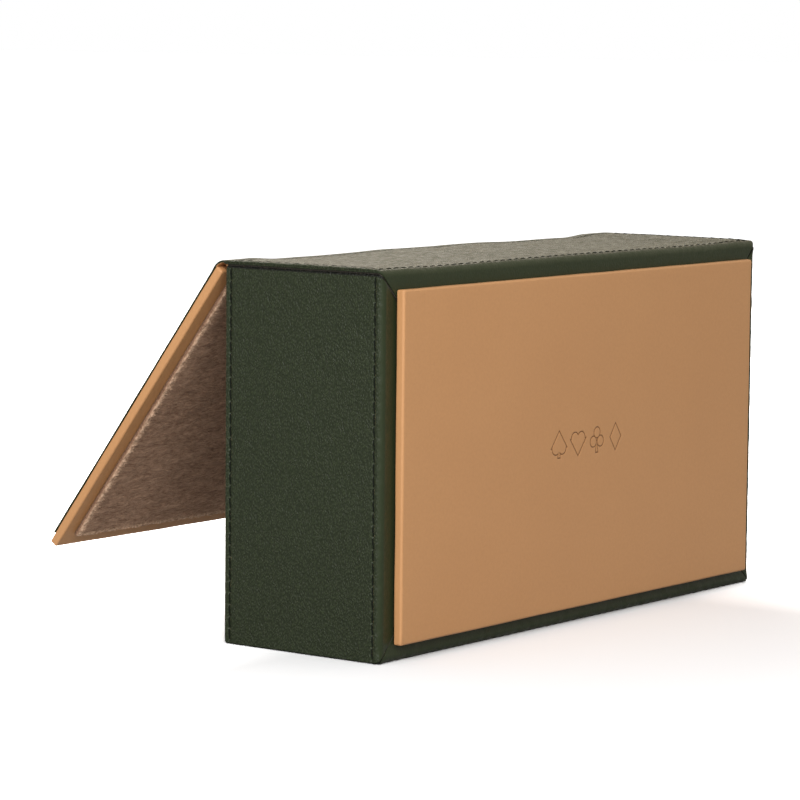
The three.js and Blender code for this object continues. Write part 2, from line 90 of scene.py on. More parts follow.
COVER = 0.55  # thickness of the leatherette on a wall
COVER_COLUMNS = 18  # on its inner side
SPINE_ON_WALL = 0.9
SPINE_ON_LID = 0.45
TURN_DOWN = 0.5
RIM_RADIUS = 0.9
BASE_RADIUS = 2.05
CORNER_ROLL = 0.45
TOP_ROLL = 1.3
TOP_ROLL_DEPTH = 0.42  # share of a round roll, which keeps the board behind the leatherette
TOP_INSET = 0.25  # the end covers stop short of the box's full height
CUT_AND_GAP_SHADE_COLUMNS = 4  # columns of dark cut edge under the spine cover, which also paint the shade in the gap under its overhang
MITRE_GAP = 0.13
BORDER_SINK = 0.45  # how far the base border sinks beside the raised panel
CORNER_FILL = 0.6  # how much of the base edge's roundness is lost at a box corner
CORNER_REACH = 2.2
BEAD = 0.1  # swelling of the base fold past its seam
FAINT = 0.05  # broad unevenness of the leatherette
RIM_TURN_IN = 1.6
HINGE_ROUND = 6.0
HINGE_CREASE = 1.7  # from one crease to the next
HINGE_CREASE_REACH = 2.6
SPINE_BASE_RADIUS = 2.3
PLATEAU_RISE = 0.8
PLATEAU_SAG = 0.45

TAN_COVER = 0.45
SLAB_RADIUS = 0.8
SLAB_OPEN_MARGIN = 14.0
SLAB_STEP = 3.0
WRAP_RIPPLE = 0.045
PLEAT_HEIGHT = 0.07  # of the folded corners
PLEAT_REACH = 1.8
MOTIF_HEIGHT = 9.5
MOTIF_PITCH = 11.5
MOTIF_LINE = 0.2  # half the width of a stamped line
MOTIF_DEPTH = 0.2
MOTIF_STEP = 0.17
MOTIF_SOFTNESS = 0.16

PLUSH_STEP = 1.0
PAD_STEP = 0.75
PAD_CROWN = 0.6
LINING_CROWN = 0.12
TUFT = 0.07  # height of the tufts, and what a rim adds to it
RIM_TUFT = 0.16
PLUSH_CLOUD = 0.06  # height of the plush's broad unevenness
PILE_DENSITY = 0.7  # hairs to the square mm
PILE_LENGTH = 1.5
HAIR_WIDTH = 0.065
HAIR_OVERHANG = 0.3  # past the slab's outline
PILE_RADIUS = 0.75
CLOTH_CELL = 4.0
CLOTH_PRESSURE = 1.0
CLOTH_SLACK = -0.02
CLOTH_FRAMES = 20
LINING_PROUD = 0.3

RIM_WRAP = 0.42  # thickness of the tan leatherette round the hinge wall's rim
FOLD_GAP = 0.08
FOLD_THICKNESS = 0.3

FINE = 0.25
COARSE = 2.2
SEAM_ROWS = 1.6  # reach of the fine rows beside a seam
BASE_SEAM_ROWS = 1.8

# ---- stage, in metres and degrees

FLOOR_NEAR = (1.02, 1.02, 1.025, 1.0)  # what the camera sees close to the box
FLOOR_FAR = (2.7, 2.7, 2.7, 1.0)
FLOOR_BOUNCE = (0.42, 0.42, 0.42, 1.0)
DOME_LIGHT = 0.46
BACKDROP_TINT = (1.0, 0.9, 0.72, 1.0)
GLOSS_FRONT = 0.3  # what glossy surfaces see on the camera's side
GLOSS_BACK = 0.92  # and of the white backdrop behind the box
FLOOR_SIZE = 20.0
FLOOR_LEVEL = -0.0002
LIGHTS = {  # place, size, power and colour
    "key": ((-1.4, -0.35, 0.75), (0.9, 0.9), 12.4, (0.98, 0.985, 1.0)),
    "front": ((-0.74, -0.62, 0.58), (0.6, 0.5), 6.4, (1.0, 0.985, 0.97)),
    "back": ((0.55, 1.05, 0.85), (1.4, 0.7), 10.5, (1.0, 0.95, 0.86)),
}
CAMERA_HEADING = 53.30
CAMERA_PITCH = 5.948
CAMERA_ROLL = 0.551
CAMERA_DISTANCE = 1.2357
CAMERA_AIM = (-0.02046, 0.02960, 0.01095)  # from the middle of the closed box
CAMERA_LENS = 159.86

# ---- places read from the frame


def box_mm(node):
    low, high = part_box(node)
    return np.array(low) / MM, np.array(high) / MM


END_LOW, END_HIGH = box_mm("left_end_cover")
END_X = -END_LOW[0]
BASE_Y = END_LOW[1]
MOUTH_Y = END_HIGH[1]
HEIGHT = END_LOW[2] + END_HIGH[2]
BASE_TURN_IN = box_mm("rest_wall_cover")[1][2]
LINING_FACE = box_mm("rest_wall_lining")[1][2]  # a wall's thickness with its plush
SPINE_X, _, SPINE_TOP = box_mm("spine_cover")[1]
BOX_MIDDLE = Vector((0.0, 0.0, HEIGHT / 2)) * MM

JOINT = frame["joints"][0]
AXIS = np.array(JOINT["pos_m"]) / MM
LID_OPEN = -math.radians(JOINT["range_deg"][0])
LID_S = np.array([0.0, math.sin(LID_OPEN), -math.cos(LID_OPEN)])
LID_N = np.array([0.0, math.cos(LID_OPEN), math.sin(LID_OPEN)])


def lid_box(node):
    """Lowest and highest (x, n, s) of a lid node, in the lid's own axes."""
    corners = np.array([v.co for v in frame["nodes"][node].data.vertices]) / MM - AXIS
    own = np.stack([corners[:, 0], corners @ LID_N, corners @ LID_S], axis=1)
    return own.min(0), own.max(0)


def lid_point(n, s):
    """(y, z) of points of the lid."""
    return AXIS[1] + n * LID_N[1] + s * LID_S[1], AXIS[2] + n * LID_N[2] + s * LID_S[2]


LID_LOW, LID_HIGH = lid_box("lid_cover")
LID_X = LID_HIGH[0]
SKIN_HIGH = lid_box("lid_skin")[1]
PAD_LOW, PAD_HIGH = lid_box("lid_pad_plush")


def seam_of(run):
    """A seam's run and its number of stitches."""
    return run, round(run / PITCH)


BASE_SEAM_Y = sum(box_mm("left_end_base_seam"))[1] / 2
MOUTH_SEAM_Y = sum(box_mm("left_end_mouth_seam"))[1] / 2
SHORT_SEAM_X = sum(box_mm("spine_right_seam"))[0] / 2
HINGE_SEAM_S = sum(lid_box("lid_hinge_seam"))[2] / 2
FREE_SEAM_S = sum(lid_box("lid_free_edge_seam"))[2] / 2
LONG_SEAM = seam_of(2 * (END_X - SEAM_END))
SHORT_SEAM = seam_of(MOUTH_SEAM_Y - BASE_SEAM_Y - SHORT_SEAM_GAPS)

# ---- numbers along lines


def smooth(t):
    t = np.clip(t, 0.0, 1.0)
    return t * t * (3 - 2 * t)


def hill(distance, reach):
    """1 at no distance, fading over reach."""
    return np.exp(-((distance / reach) ** 2))


def stations(low, high, coarse, places=()):
    """Places from low to high in coarse steps, finer within reach of each (place, reach, step)."""
    cuts = {low, high}
    for place, reach, _ in places:
        cuts |= {min(max(place - reach, low), high), min(max(place + reach, low), high)}
    cuts = sorted(cuts)
    made = [low]
    for a, b in zip(cuts, cuts[1:]):
        if b - a < 1e-6:
            continue
        steps = [step for place, reach, step in places if abs((a + b) / 2 - place) < reach]
        count = max(1, math.ceil((b - a) / min(steps + [coarse])))
        made += [a + (b - a) * k / count for k in range(1, count + 1)]
    return np.array(made)


def hole_places(seam):
    """Places along a seam, close together round each needle hole."""
    run, count = seam
    shares = np.array([0.0, 0.07, 0.15, 0.3, 0.5, 0.7, 0.85, 0.93])
    holes = (np.arange(count)[:, None] + shares).ravel() * run / count
    return np.append(holes, run) - run / 2


def roll_places(half, radius, turn):
    """Places near a sheet's end, where its surface rolls over by turn degrees."""
    angles = np.radians(np.linspace(0, turn, 6))
    return half - radius * (1 - np.sin(angles))


def columns(seam, low, high):
    """Columns across a sheet. low and high are (half length, roll radius, roll turn) of its ends."""
    low_end, high_end = roll_places(*low), roll_places(*high)
    holes = hole_places(seam)
    holes = holes[(holes > -low_end[0] + 0.05) & (holes < high_end[0] - 0.05)]
    return np.concatenate([-low_end[::-1], holes, high_end])


def roll_drop(v, half, radius):
    """How far the surface has dropped at v, where it rolls over at half."""
    past = np.clip(radius - (half - v), 0, radius)
    return radius - np.sqrt(np.maximum(radius**2 - past**2, 0))


def without_doubles(values, gap=0.06):
    values = np.sort(values)
    kept = [values[0]]
    for value in values[1:]:
        if value - kept[-1] > gap:
            kept.append(value)
    return np.array(kept)


class Outline:
    """A plane line of straight runs and round bends, read by the distance along it."""

    def __init__(self, corners, radii, side):
        self.side = side
        self.parts = []
        self.length = 0.0
        corners = [np.array(c, float) for c in corners]
        here = corners[0]
        for before, corner, after, radius in zip(corners, corners[1:], corners[2:], radii):
            into = (corner - before) / np.linalg.norm(corner - before)
            away = (after - corner) / np.linalg.norm(after - corner)
            heading = math.atan2(into[1], into[0])
            turn = math.atan2(into[0] * away[1] - into[1] * away[0], into @ away)
            cut = radius * math.tan(abs(turn) / 2)
            bend = corner - into * cut
            self.add(here, heading, np.linalg.norm(bend - here), 0.0)
            self.add(bend, heading, radius * abs(turn), math.copysign(1 / radius, turn))
            here = corner + away * cut
        last = corners[-1] - here
        self.add(here, math.atan2(last[1], last[0]), np.linalg.norm(last), 0.0)
        self.runs = self.parts[0::2]
        self.bends = self.parts[1::2]

    def add(self, start, heading, length, curvature):
        self.parts.append((self.length, length, start, heading, curvature))
        self.length += length

    def at(self, u):
        """Points and outward normals at the distances u."""
        points = np.zeros((len(u), 2))
        normals = np.zeros((len(u), 2))
        for begin, length, start, heading, curvature in self.parts:
            here = (u >= begin - 1e-9) & (u <= begin + length + 1e-9)
            t = u[here] - begin
            now = heading + curvature * t
            if curvature:
                ahead = (np.sin(now) - math.sin(heading)) / curvature
                aside = (math.cos(heading) - np.cos(now)) / curvature
            else:
                ahead, aside = t * math.cos(heading), t * math.sin(heading)
            points[here] = start + np.stack([ahead, aside], axis=1)
            normals[here] = self.side * np.stack([-np.sin(now), np.cos(now)], axis=1)
        return points, normals

    def fine_bends(self, step=FINE, extra=0.3):
        """The bends, as places for stations()."""
        return [(begin + run / 2, run / 2 + extra, step) for begin, run, *_ in self.bends]


class Ripple:
    """Soft unevenness over a surface: a sum of seeded plane waves, about -1 to 1."""

    def __init__(self, seed, wavelength, waves=14, stretch=(1.0, 1.0)):
        rng = np.random.default_rng(seed)
        angles = rng.uniform(0, math.tau, waves)
        numbers = math.tau / (wavelength * rng.uniform(0.6, 1.7, waves))
        self.a = numbers * np.cos(angles) / stretch[0]
        self.b = numbers * np.sin(angles) / stretch[1]
        self.phase = rng.uniform(0, math.tau, waves)
        self.scale = 1 / math.sqrt(waves)

    def __call__(self, a, b):
        total = np.zeros(np.broadcast(a, b).shape)
        for ka, kb, phase in zip(self.a, self.b, self.phase):
            total += np.sin(ka * a + kb * b + phase)
        return total * self.scale


# ---- relief of a seam


def seam_relief(across, along, seam, puff=PUFF, hole=HOLE):
    """Height beside a seam. across is the distance from it, positive towards the sheet's edge."""
    run, count = seam
    pitch = run / count
    phase = (along + run / 2) / pitch
    to_hole = np.abs(phase - np.round(phase)) * pitch
    between = 0.5 - 0.5 * np.cos(math.tau * phase)
    inside = smooth((run / 2 + 0.6 - np.abs(along)) / 0.8)
    furrow = -GROOVE * hill(across, GROOVE_REACH)
    dimple = -hole * np.exp(-(across**2 + to_hole**2) / HOLE_REACH**2)
    reach = np.where(across > 0, PUFF_REACH, PUFF_REACH * 1.3)
    swell = puff * (0.35 + 0.65 * between) * hill(np.abs(across) - PUFF_PLACE, reach)
    swell = np.where(across > 0, swell, INNER_PUFF * swell)
    return inside * (furrow + dimple + swell)


# ---- meshes


def stand(name, data):
    """A new object in the scene."""
    made = bpy.data.objects.new(name, data)
    bpy.context.scene.collection.objects.link(made)
    return made


def make_object(name, points, faces, material, nodes=()):
    """A piece from points in mm, with its faces pointing out, that stands for CAD nodes."""
    points = np.asarray(points, float).reshape(-1, 3)
    if signed_volume(points, faces) < 0:
        faces = [face[::-1] for face in faces]
    mesh = bpy.data.meshes.new(name)
    mesh.from_pydata((points * MM).tolist(), [], faces)
    mesh.update()
    mesh.shade_smooth()
    mesh.set_sharp_from_angle(angle=math.radians(50))
    mesh.materials.append(material)
    made = stand(name, mesh)
    if nodes:
        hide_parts(*nodes)
    return made


def signed_volume(points, faces):
    points = points - points.mean(0)
    fans = [(f[0], f[k], f[k + 1]) for f in faces for k in range(1, len(f) - 1)]
    a, b, c = (points[np.array(fans)[:, k]] for k in range(3))
    return float(np.einsum("ij,ij->i", a, np.cross(b, c)).sum())


def zipped(first, second, first_at, second_at):
    """Triangles between two chains of points, by their places along the chains."""
    faces = []
    i = j = 0
    while i < len(first) - 1 or j < len(second) - 1:
        next_first = first_at[i + 1] if i < len(first) - 1 else math.inf
        next_second = second_at[j + 1] if j < len(second) - 1 else math.inf
        if next_first <= next_second:
            faces.append((first[i], first[i + 1], second[j]))
            i += 1
        else:
            faces.append((first[i], second[j + 1], second[j]))
            j += 1
    return faces


def grid_faces(index):
    """Quads of a grid of point numbers."""
    quads = np.stack([index[:-1, :-1], index[:-1, 1:], index[1:, 1:], index[1:, :-1]], axis=-1)
    return quads.reshape(-1, 4).tolist()


def closed_sheet(outer, inner, low_rim, high_rim):
    """One closed body from rows of outer and inner points, joined by rim columns."""
    rows = outer.shape[0]
    ring = np.concatenate([low_rim[:, ::-1], outer, high_rim, inner[:, ::-1]], axis=1)
    index = np.arange(ring.shape[0] * ring.shape[1]).reshape(rows, -1)
    faces = grid_faces(np.concatenate([index, index[:, :1]], axis=1))
    front = low_rim.shape[1] + outer.shape[1] + high_rim.shape[1]
    for row, flip in ((0, True), (rows - 1, False)):
        first, second = index[row, :front], index[row, front:][::-1]
        at = [chain_places(ring[row, :front]), chain_places(ring[row, front:][::-1])]
        cap = zipped(first.tolist(), second.tolist(), *at)
        faces += [face[::-1] for face in cap] if flip else cap
    return ring.reshape(-1, 3), faces


def chain_places(points):
    steps = np.linalg.norm(np.diff(points, axis=0), axis=1)
    run = np.concatenate([[0.0], np.cumsum(steps)])
    return run / run[-1]


# ---- materials


class Graph:
    """A shader node tree, added to one node at a time."""

    def __init__(self, tree):
        self.tree = tree

    def add(self, kind, inputs=None, **settings):
        node = self.tree.nodes.new(kind)
        for key, value in settings.items():
            setattr(node, key, value)
        for key, value in (inputs or {}).items():
            self.feed(node.inputs[key], value)
        return node

    def feed(self, socket, value):
        if isinstance(value, bpy.types.NodeSocket):
            self.tree.links.new(value, socket)
        else:
            socket.default_value = value

    def math(self, operation, a, b):
        return self.add("ShaderNodeMath", {0: a, 1: b}, operation=operation).outputs[0]

    def plus(self, a, b):
        return self.math("ADD", a, b)

    def times(self, a, b):
        return self.math("MULTIPLY", a, b)

    def span(self, value, low, high, to_low=0.0, to_high=1.0):
        """value, stretched from the range low to high onto another range."""
        ends = {"From Min": low, "From Max": high, "To Min": to_low, "To Max": to_high}
        return self.add("ShaderNodeMapRange", {"Value": value, **ends}).outputs["Result"]

    def mix(self, factor, a, b):
        return self.add("ShaderNodeMix", {0: factor, 6: a, 7: b}, data_type="RGBA").outputs[2]


class Nodes(Graph):
    """A material's nodes, round its Principled shader."""

    def __init__(self, name):
        self.material = bpy.data.materials.new(name)
        self.material.use_nodes = True
        super().__init__(self.material.node_tree)
        self.shader = self.tree.nodes["Principled BSDF"]
        self.place = self.add("ShaderNodeTexCoord").outputs["Object"]

    def set(self, **inputs):
        for key, value in inputs.items():
            self.feed(self.shader.inputs[key.replace("_", " ")], value)

    def noise(self, scale, detail=3.0, roughness=0.5, vector=None):
        inputs = {"Vector": vector or self.place, "Scale": scale}
        inputs |= {"Detail": detail, "Roughness": roughness}
        return self.add("ShaderNodeTexNoise", inputs).outputs["Fac"]

    def cells(self, scale, vector, smoothness):
        inputs = {"Vector": vector, "Scale": scale, "Smoothness": smoothness}
        return self.add("ShaderNodeTexVoronoi", inputs, feature="SMOOTH_F1").outputs["Distance"]

    def stretched(self, scale, rotation=(0.0, 0.0, 0.0)):
        inputs = {"Vector": self.place, "Scale": scale, "Rotation": rotation}
        return self.add("ShaderNodeMapping", inputs).outputs["Vector"]

    def warped(self, vector, scale, amount):
        """vector, pushed about by a noise."""
        noise = self.add("ShaderNodeTexNoise", {"Vector": vector, "Scale": scale, "Detail": 2.0})
        inputs = {0: noise.outputs["Color"], 1: (amount, amount, amount), 2: vector}
        return self.add("ShaderNodeVectorMath", inputs, operation="MULTIPLY_ADD").outputs[0]

    def bump(self, height, strength, distance):
        inputs = {"Height": height, "Strength": strength, "Distance": distance * MM}
        return self.add("ShaderNodeBump", inputs).outputs["Normal"]

    def painted(self, name):
        """A number that paint() stored in the mesh."""
        return self.add("ShaderNodeAttribute", attribute_name=name).outputs["Fac"]


def linear(red, green, blue):
    """A colour picked as 0-255 screen values."""

    def channel(value):
        value /= 255
        return value / 12.92 if value <= 0.04045 else ((value + 0.055) / 1.055) ** 2.4

    return (channel(red), channel(green), channel(blue), 1.0)


def green_leather():
    """Pebbled leatherette with a dusty sheen, pulled smooth in the folds over the base. Its grain has
    painted shade in the crevices and a painted highlight on the pebble tops, and its cut edges are
    painted near black, which also paints the shade in the gaps under the spine cover and at the
    mitres.
    """
    nodes = Nodes("green_leatherette")
    drift = nodes.warped(nodes.stretched((1.0, 1.0, 0.6), (0.3, 0.25, 0.0)), 500, 0.0011)
    pebble = nodes.cells(1850, drift, 0.35)
    crease = nodes.noise(900, 2.0, 0.5, drift)
    fine = nodes.noise(4200, 2.0)
    clump = nodes.noise(480, 2.0, 0.6)
    height = nodes.math("SUBTRACT", nodes.times(crease, 0.25), pebble)
    height = nodes.plus(height, nodes.times(clump, 0.2))
    broad = nodes.noise(14, 2.0)
    low = nodes.mix(broad, linear(32, 39, 22), linear(35, 43, 25))
    high = nodes.mix(broad, linear(50, 59, 36), linear(54, 63, 40))
    facing = nodes.add("ShaderNodeNewGeometry").outputs["Normal"]
    facing_y = nodes.add("ShaderNodeSeparateXYZ", {0: facing}).outputs["Y"]
    pebbled = nodes.span(facing_y, -0.7, -0.15, 0.12, 1.0)
    # the grain's height paints shade into its crevices and a highlight on its pebble tops, less in
    # the folds
    grain_shade_and_highlight = nodes.times(nodes.span(height, -0.35, 0.25, -0.5, 0.5), pebbled)
    colour = nodes.mix(nodes.plus(0.5, grain_shade_and_highlight), low, high)
    # near black on the cut edges: partly their own dark colour, partly painted shade in the mitre
    # gaps and under the spine cover's overhang
    colour = nodes.mix(nodes.painted("cut"), colour, linear(9, 11, 7))
    shine = nodes.plus(nodes.span(clump, 0.35, 0.65, 0.36, 0.6), nodes.times(fine, 0.06))
    shine = nodes.times(shine, nodes.span(pebbled, 0.12, 1.0, 0.78, 1.0))
    nodes.set(Base_Color=colour, Roughness=shine, Specular_IOR_Level=0.25)
    nodes.set(Sheen_Weight=0.1, Sheen_Roughness=0.22, Sheen_Tint=linear(240, 206, 160))
    nodes.set(Normal=nodes.bump(height, pebbled, 0.38))
    return nodes.material


def tan_leather():
    """Satin leatherette with a very fine grain, and a darker foil tone in the debossed motif."""
    nodes = Nodes("tan_leatherette")
    grain = nodes.cells(1500, nodes.warped(nodes.place, 500, 0.001), 0.4)
    cloud = nodes.noise(16, 3.0)
    fleck = nodes.noise(900, 2.0)
    colour = nodes.mix(cloud, linear(192, 140, 92), linear(198, 147, 99))
    colour = nodes.mix(nodes.span(fleck, 0.35, 0.75, 0.0, 0.16), colour, linear(168, 120, 76))
    colour = nodes.mix(nodes.painted("foil"), colour, linear(118, 80, 44))
    height = nodes.plus(nodes.times(grain, -0.5), nodes.times(fleck, 0.3))
    shine = nodes.span(cloud, 0.3, 0.7, 0.42, 0.5)
    nodes.set(Base_Color=colour, Roughness=shine, Specular_IOR_Level=0.4)
    nodes.set(Normal=nodes.bump(height, 0.35, 0.08))
    return nodes.material


def plush():
    """Short brushed pile: streaks along X, tuft shading, a soft sheen, paler rims that are a painted
    highlight, and darker sides that are painted shade.
    """
    nodes = Nodes("plush")
    brushed = nodes.warped(nodes.stretched((0.3, 1.0, 1.0)), 160, 0.004)
    streak = nodes.noise(1500, 4.0, 0.65, brushed)
    tuft = nodes.noise(420, 3.0, 0.6, brushed)
    cloud = nodes.noise(26, 3.0)
    pile = nodes.plus(nodes.times(streak, 0.6), nodes.times(tuft, 0.45))
    dark = nodes.mix(cloud, linear(110, 81, 62), linear(124, 94, 74))
    light = nodes.mix(cloud, linear(188, 151, 124), linear(204, 167, 140))
    colour = nodes.mix(nodes.span(pile, 0.4, 0.72), dark, light)
    rim = nodes.painted("rim")
    tufted = nodes.span(nodes.noise(1100, 2.0), 0.38, 0.62, 0.15, 0.95)
    # the rims are painted paler in tufts: a painted highlight where the rim catches the light
    pale = nodes.times(nodes.span(rim, 0.0, 1.0), tufted)
    colour = nodes.mix(pale, colour, linear(226, 192, 162))
    # a negative rim value, down the slab's sides, paints them dark: painted shade at the pad's base
    colour = nodes.mix(nodes.span(rim, 0.0, -1.0, 0.0, 0.8), colour, linear(78, 50, 32))
    nodes.set(Base_Color=colour, Roughness=0.92, Specular_IOR_Level=0.1)
    nodes.set(Sheen_Weight=0.5, Sheen_Roughness=0.45, Sheen_Tint=linear(224, 192, 166))
    nodes.set(Normal=nodes.bump(pile, 0.9, 0.4))
    return nodes.material


def thread():
    """Near-black green sewing thread with the fine lines of its twist."""
    nodes = Nodes("thread")
    fibre = nodes.noise(4200, 3.0, 0.6)
    colour = nodes.mix(fibre, linear(7, 10, 6), linear(20, 26, 17))
    nodes.set(Base_Color=colour, Roughness=0.8, Specular_IOR_Level=0.15)
    nodes.set(Normal=nodes.bump(fibre, 0.6, 0.06))
    return nodes.material


def greyboard():
    """Raw board: grey pulp with paler and darker fibres."""
    nodes = Nodes("greyboard")
    pulp = nodes.noise(420, 5.0, 0.65)
    fibre = nodes.noise(1500, 3.0, 0.6, nodes.stretched((0.35, 1.0, 0.35)))
    colour = nodes.mix(pulp, linear(58, 54, 48), linear(82, 77, 69))
    colour = nodes.mix(nodes.span(fibre, 0.55, 0.75, 0.0, 0.5), colour, linear(44, 41, 36))
    nodes.set(Base_Color=colour, Roughness=0.92, Normal=nodes.bump(fibre, 0.5, 0.12))
    return nodes.material


def magnet():
    """Nickel plate with faint drawn lines."""
    nodes = Nodes("magnet")
    drawn = nodes.noise(900, 3.0, 0.5, nodes.stretched((1.0, 1.0, 0.08)))
    colour = nodes.mix(drawn, linear(176, 178, 181), linear(206, 207, 209))
    nodes.set(Base_Color=colour, Metallic=1.0, Roughness=nodes.span(drawn, 0.3, 0.7, 0.22, 0.4))
    nodes.set(Normal=nodes.bump(drawn, 0.3, 0.03))
    return nodes.material


GREEN = green_leather()
TAN = tan_leather()
PLUSH = plush()
THREAD = thread()
BOARD = greyboard()
MAGNET = magnet()

# ---- sheets of leatherette


def surface(flat, normal, lift, along, place):
    """Points of a sheet: an outline's points, lifted along their normals and swept along."""
    a = flat[:, :1] + normal[:, :1] * lift
    b = flat[:, 1:] + normal[:, 1:] * lift
    a, b, along = np.broadcast_arrays(a, b, along)
    return np.stack(place(a, b, along), axis=-1)


def spread(columns, half):
    """Evenly spaced columns across a sheet's rows, from -half to half."""
    return np.linspace(-1, 1, columns)[None, :] * half


def rims(outer, inner, profile):
    """Columns between a sheet's outer and inner surface, by (share of the way in, how far out)."""
    made = []
    for edge, following in ((0, 1), (-1, -2)):
        across = inner[:, edge] - outer[:, edge]
        outward = (outer[:, edge] - outer[:, following]) * np.array([1.0, 0.0, 0.0])
        outward /= np.linalg.norm(outward, axis=1)[:, None] + 1e-9
        thick = np.linalg.norm(across, axis=1)[:, None]
        shaped = [outer[:, edge] + across * share + outward * thick * out for share, out in profile]
        made.append(np.stack(shaped, axis=1) if shaped else np.zeros((len(outer), 0, 3)))
    return made


def finish_sheet(name, outer, inner, material, nodes=(), profile=()):
    points, faces = closed_sheet(outer, inner, *rims(outer, inner, profile))
    return make_object(name, points, faces, material, nodes)


def mark_cut_edges_and_gap_shade(made, outer, inner, near, far):
    """Darkens a sheet's inner side, and its outer side's near lowest and far highest columns: dark
    cut edges, which also stand in as painted shade in the mitre gaps and in the gap under the spine
    cover.
    """
    cut = np.zeros((len(outer), outer.shape[1] + inner.shape[1]))
    cut[:, :near] = 1.0
    cut[:, outer.shape[1] - far:] = 1.0
    # the cut mark is dark cut edge and painted gap shade
    paint(made, "cut", cut.ravel())


def paint(made, name, values):
    """Stores a number per point, which the material reads."""
    stored = made.data.attributes.new(name, "FLOAT", "POINT").data
    stored.foreach_set("value", np.asarray(values, np.float32))


# ---- wall covers


def cover_outline():
    """Section of a wall cover, (depth, y), from inside the rim over the face to the base border."""
    corners = [
        (LINING_FACE, MOUTH_Y - RIM_TURN_IN - RIM_RADIUS),
        (LINING_FACE, MOUTH_Y),
        (0.0, MOUTH_Y),
        (0.0, BASE_Y),
        (BASE_TURN_IN, BASE_Y),
    ]
    return Outline(corners, [RIM_RADIUS, RIM_RADIUS, BASE_RADIUS], side=-1)


def wall_cover(name, node, half, under_spine, place, seed):
    """A wall's leatherette. With under_spine its far end rolls over to go under the spine cover."""
    outline = cover_outline()
    face_begin, _, face_start, _, _ = outline.runs[2]
    base_bend = outline.bends[2]
    u_mouth = face_begin + face_start[1] - MOUTH_SEAM_Y
    u_base = face_begin + face_start[1] - BASE_SEAM_Y
    u_edge = base_bend[0] + base_bend[1]
    seam = seam_of(2 * (half - SEAM_END))
    fine_rows = outline.fine_bends() + [(u_mouth, SEAM_ROWS, FINE), (u_base, BASE_SEAM_ROWS, FINE)]
    u = stations(0.0, outline.length, COARSE, fine_rows)[:, None]
    near = (half, CORNER_ROLL, 45)
    far = (half - TOP_INSET, TOP_ROLL, 90) if under_spine else near
    v = columns(seam, near, far)[None, :]
    flat, normal = outline.at(u[:, 0])
    depth = flat[:, :1]

    lift = seam_relief(u_mouth - u, v, seam) + seam_relief(u - u_base, v, seam)
    lift += FAINT * Ripple(seed, 26.0)(u, v) * smooth((u - u_mouth) / 8) * smooth((u_base - u) / 8)
    bead = np.sin(math.pi * np.clip((u - u_base) / (u_edge + 1.0 - u_base), 0, 1))
    lift += bead * (BEAD + FAINT * Ripple(seed + 1, 4.5, stretch=(3.0, 1.0))(u, v))
    lift -= BORDER_SINK * smooth((depth - BASE_RADIUS - 0.3) / 2.6) * (flat[:, 1:] < 0)
    round_bend = np.abs(np.clip((u - base_bend[0]) / base_bend[1], 0, 1) - 0.5) * math.pi / 2
    corner_rise = CORNER_FILL * (1 / np.cos(math.pi / 4 - round_bend) - 1) * BASE_RADIUS
    lift += corner_rise * hill(half - np.abs(v), CORNER_REACH)
    far_drop = roll_drop(v, *far[:2]) * (TOP_ROLL_DEPTH if under_spine else 1.0)
    lift = lift - roll_drop(-v, *near[:2]) - far_drop
    outer = surface(flat, normal, lift, v * (half - depth - MITRE_GAP) / half, place)
    inner = surface(flat, normal, -COVER, spread(COVER_COLUMNS, half - COVER - depth), place)
    made = finish_sheet(name, outer, inner, GREEN, [node])
    # paints the cut edges dark, and with them painted shade in the mitre gaps and in the gap under
    # the spine cover
    mark_cut_edges_and_gap_shade(made, outer, inner, 1, CUT_AND_GAP_SHADE_COLUMNS if under_spine else 1)
    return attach(made, "shell")


def wall_covers():
    middle = HEIGHT / 2
    wall_cover("left_end_leather", "left_end_cover", middle, True,
               lambda a, b, v: (a - END_X, b, v + middle), 11)
    wall_cover("right_end_leather", "right_end_cover", middle, True,
               lambda a, b, v: (END_X - a, b, v + middle), 23)
    wall_cover("rest_wall_leather", "rest_wall_cover", END_X, False, lambda a, b, v: (v, b, a), 37)


# ---- spine cover, hinge and lid skin


def spine_plateau(x):
    """Height of the spine cover over its nominal top. It rises at the ends and sags between."""
    side = np.abs(x)
    return PLATEAU_RISE * smooth((side - 85.0) / 16.0) - PLATEAU_SAG * smooth((side - 18.0) / 52.0)


def plateau_share(y):
    """How much of the plateau is left towards the base fold."""
    return 1 - 0.7 * smooth((-24.0 - y) / 7.0)


def spine_outline():
    """Section of the spine sheet, (y, z): up the lid, over the hinge wall and down the base."""
    outer_n = SKIN_HIGH[1]
    rise = SPINE_TOP - AXIS[2] - outer_n * LID_N[2]
    corners = [
        lid_point(outer_n, SKIN_HIGH[2]),
        lid_point(outer_n, rise / LID_S[2]),
        (BASE_Y, SPINE_TOP),
        (BASE_Y, HEIGHT - BASE_TURN_IN),
    ]
    return Outline(corners, [HINGE_ROUND, SPINE_BASE_RADIUS], side=-1)


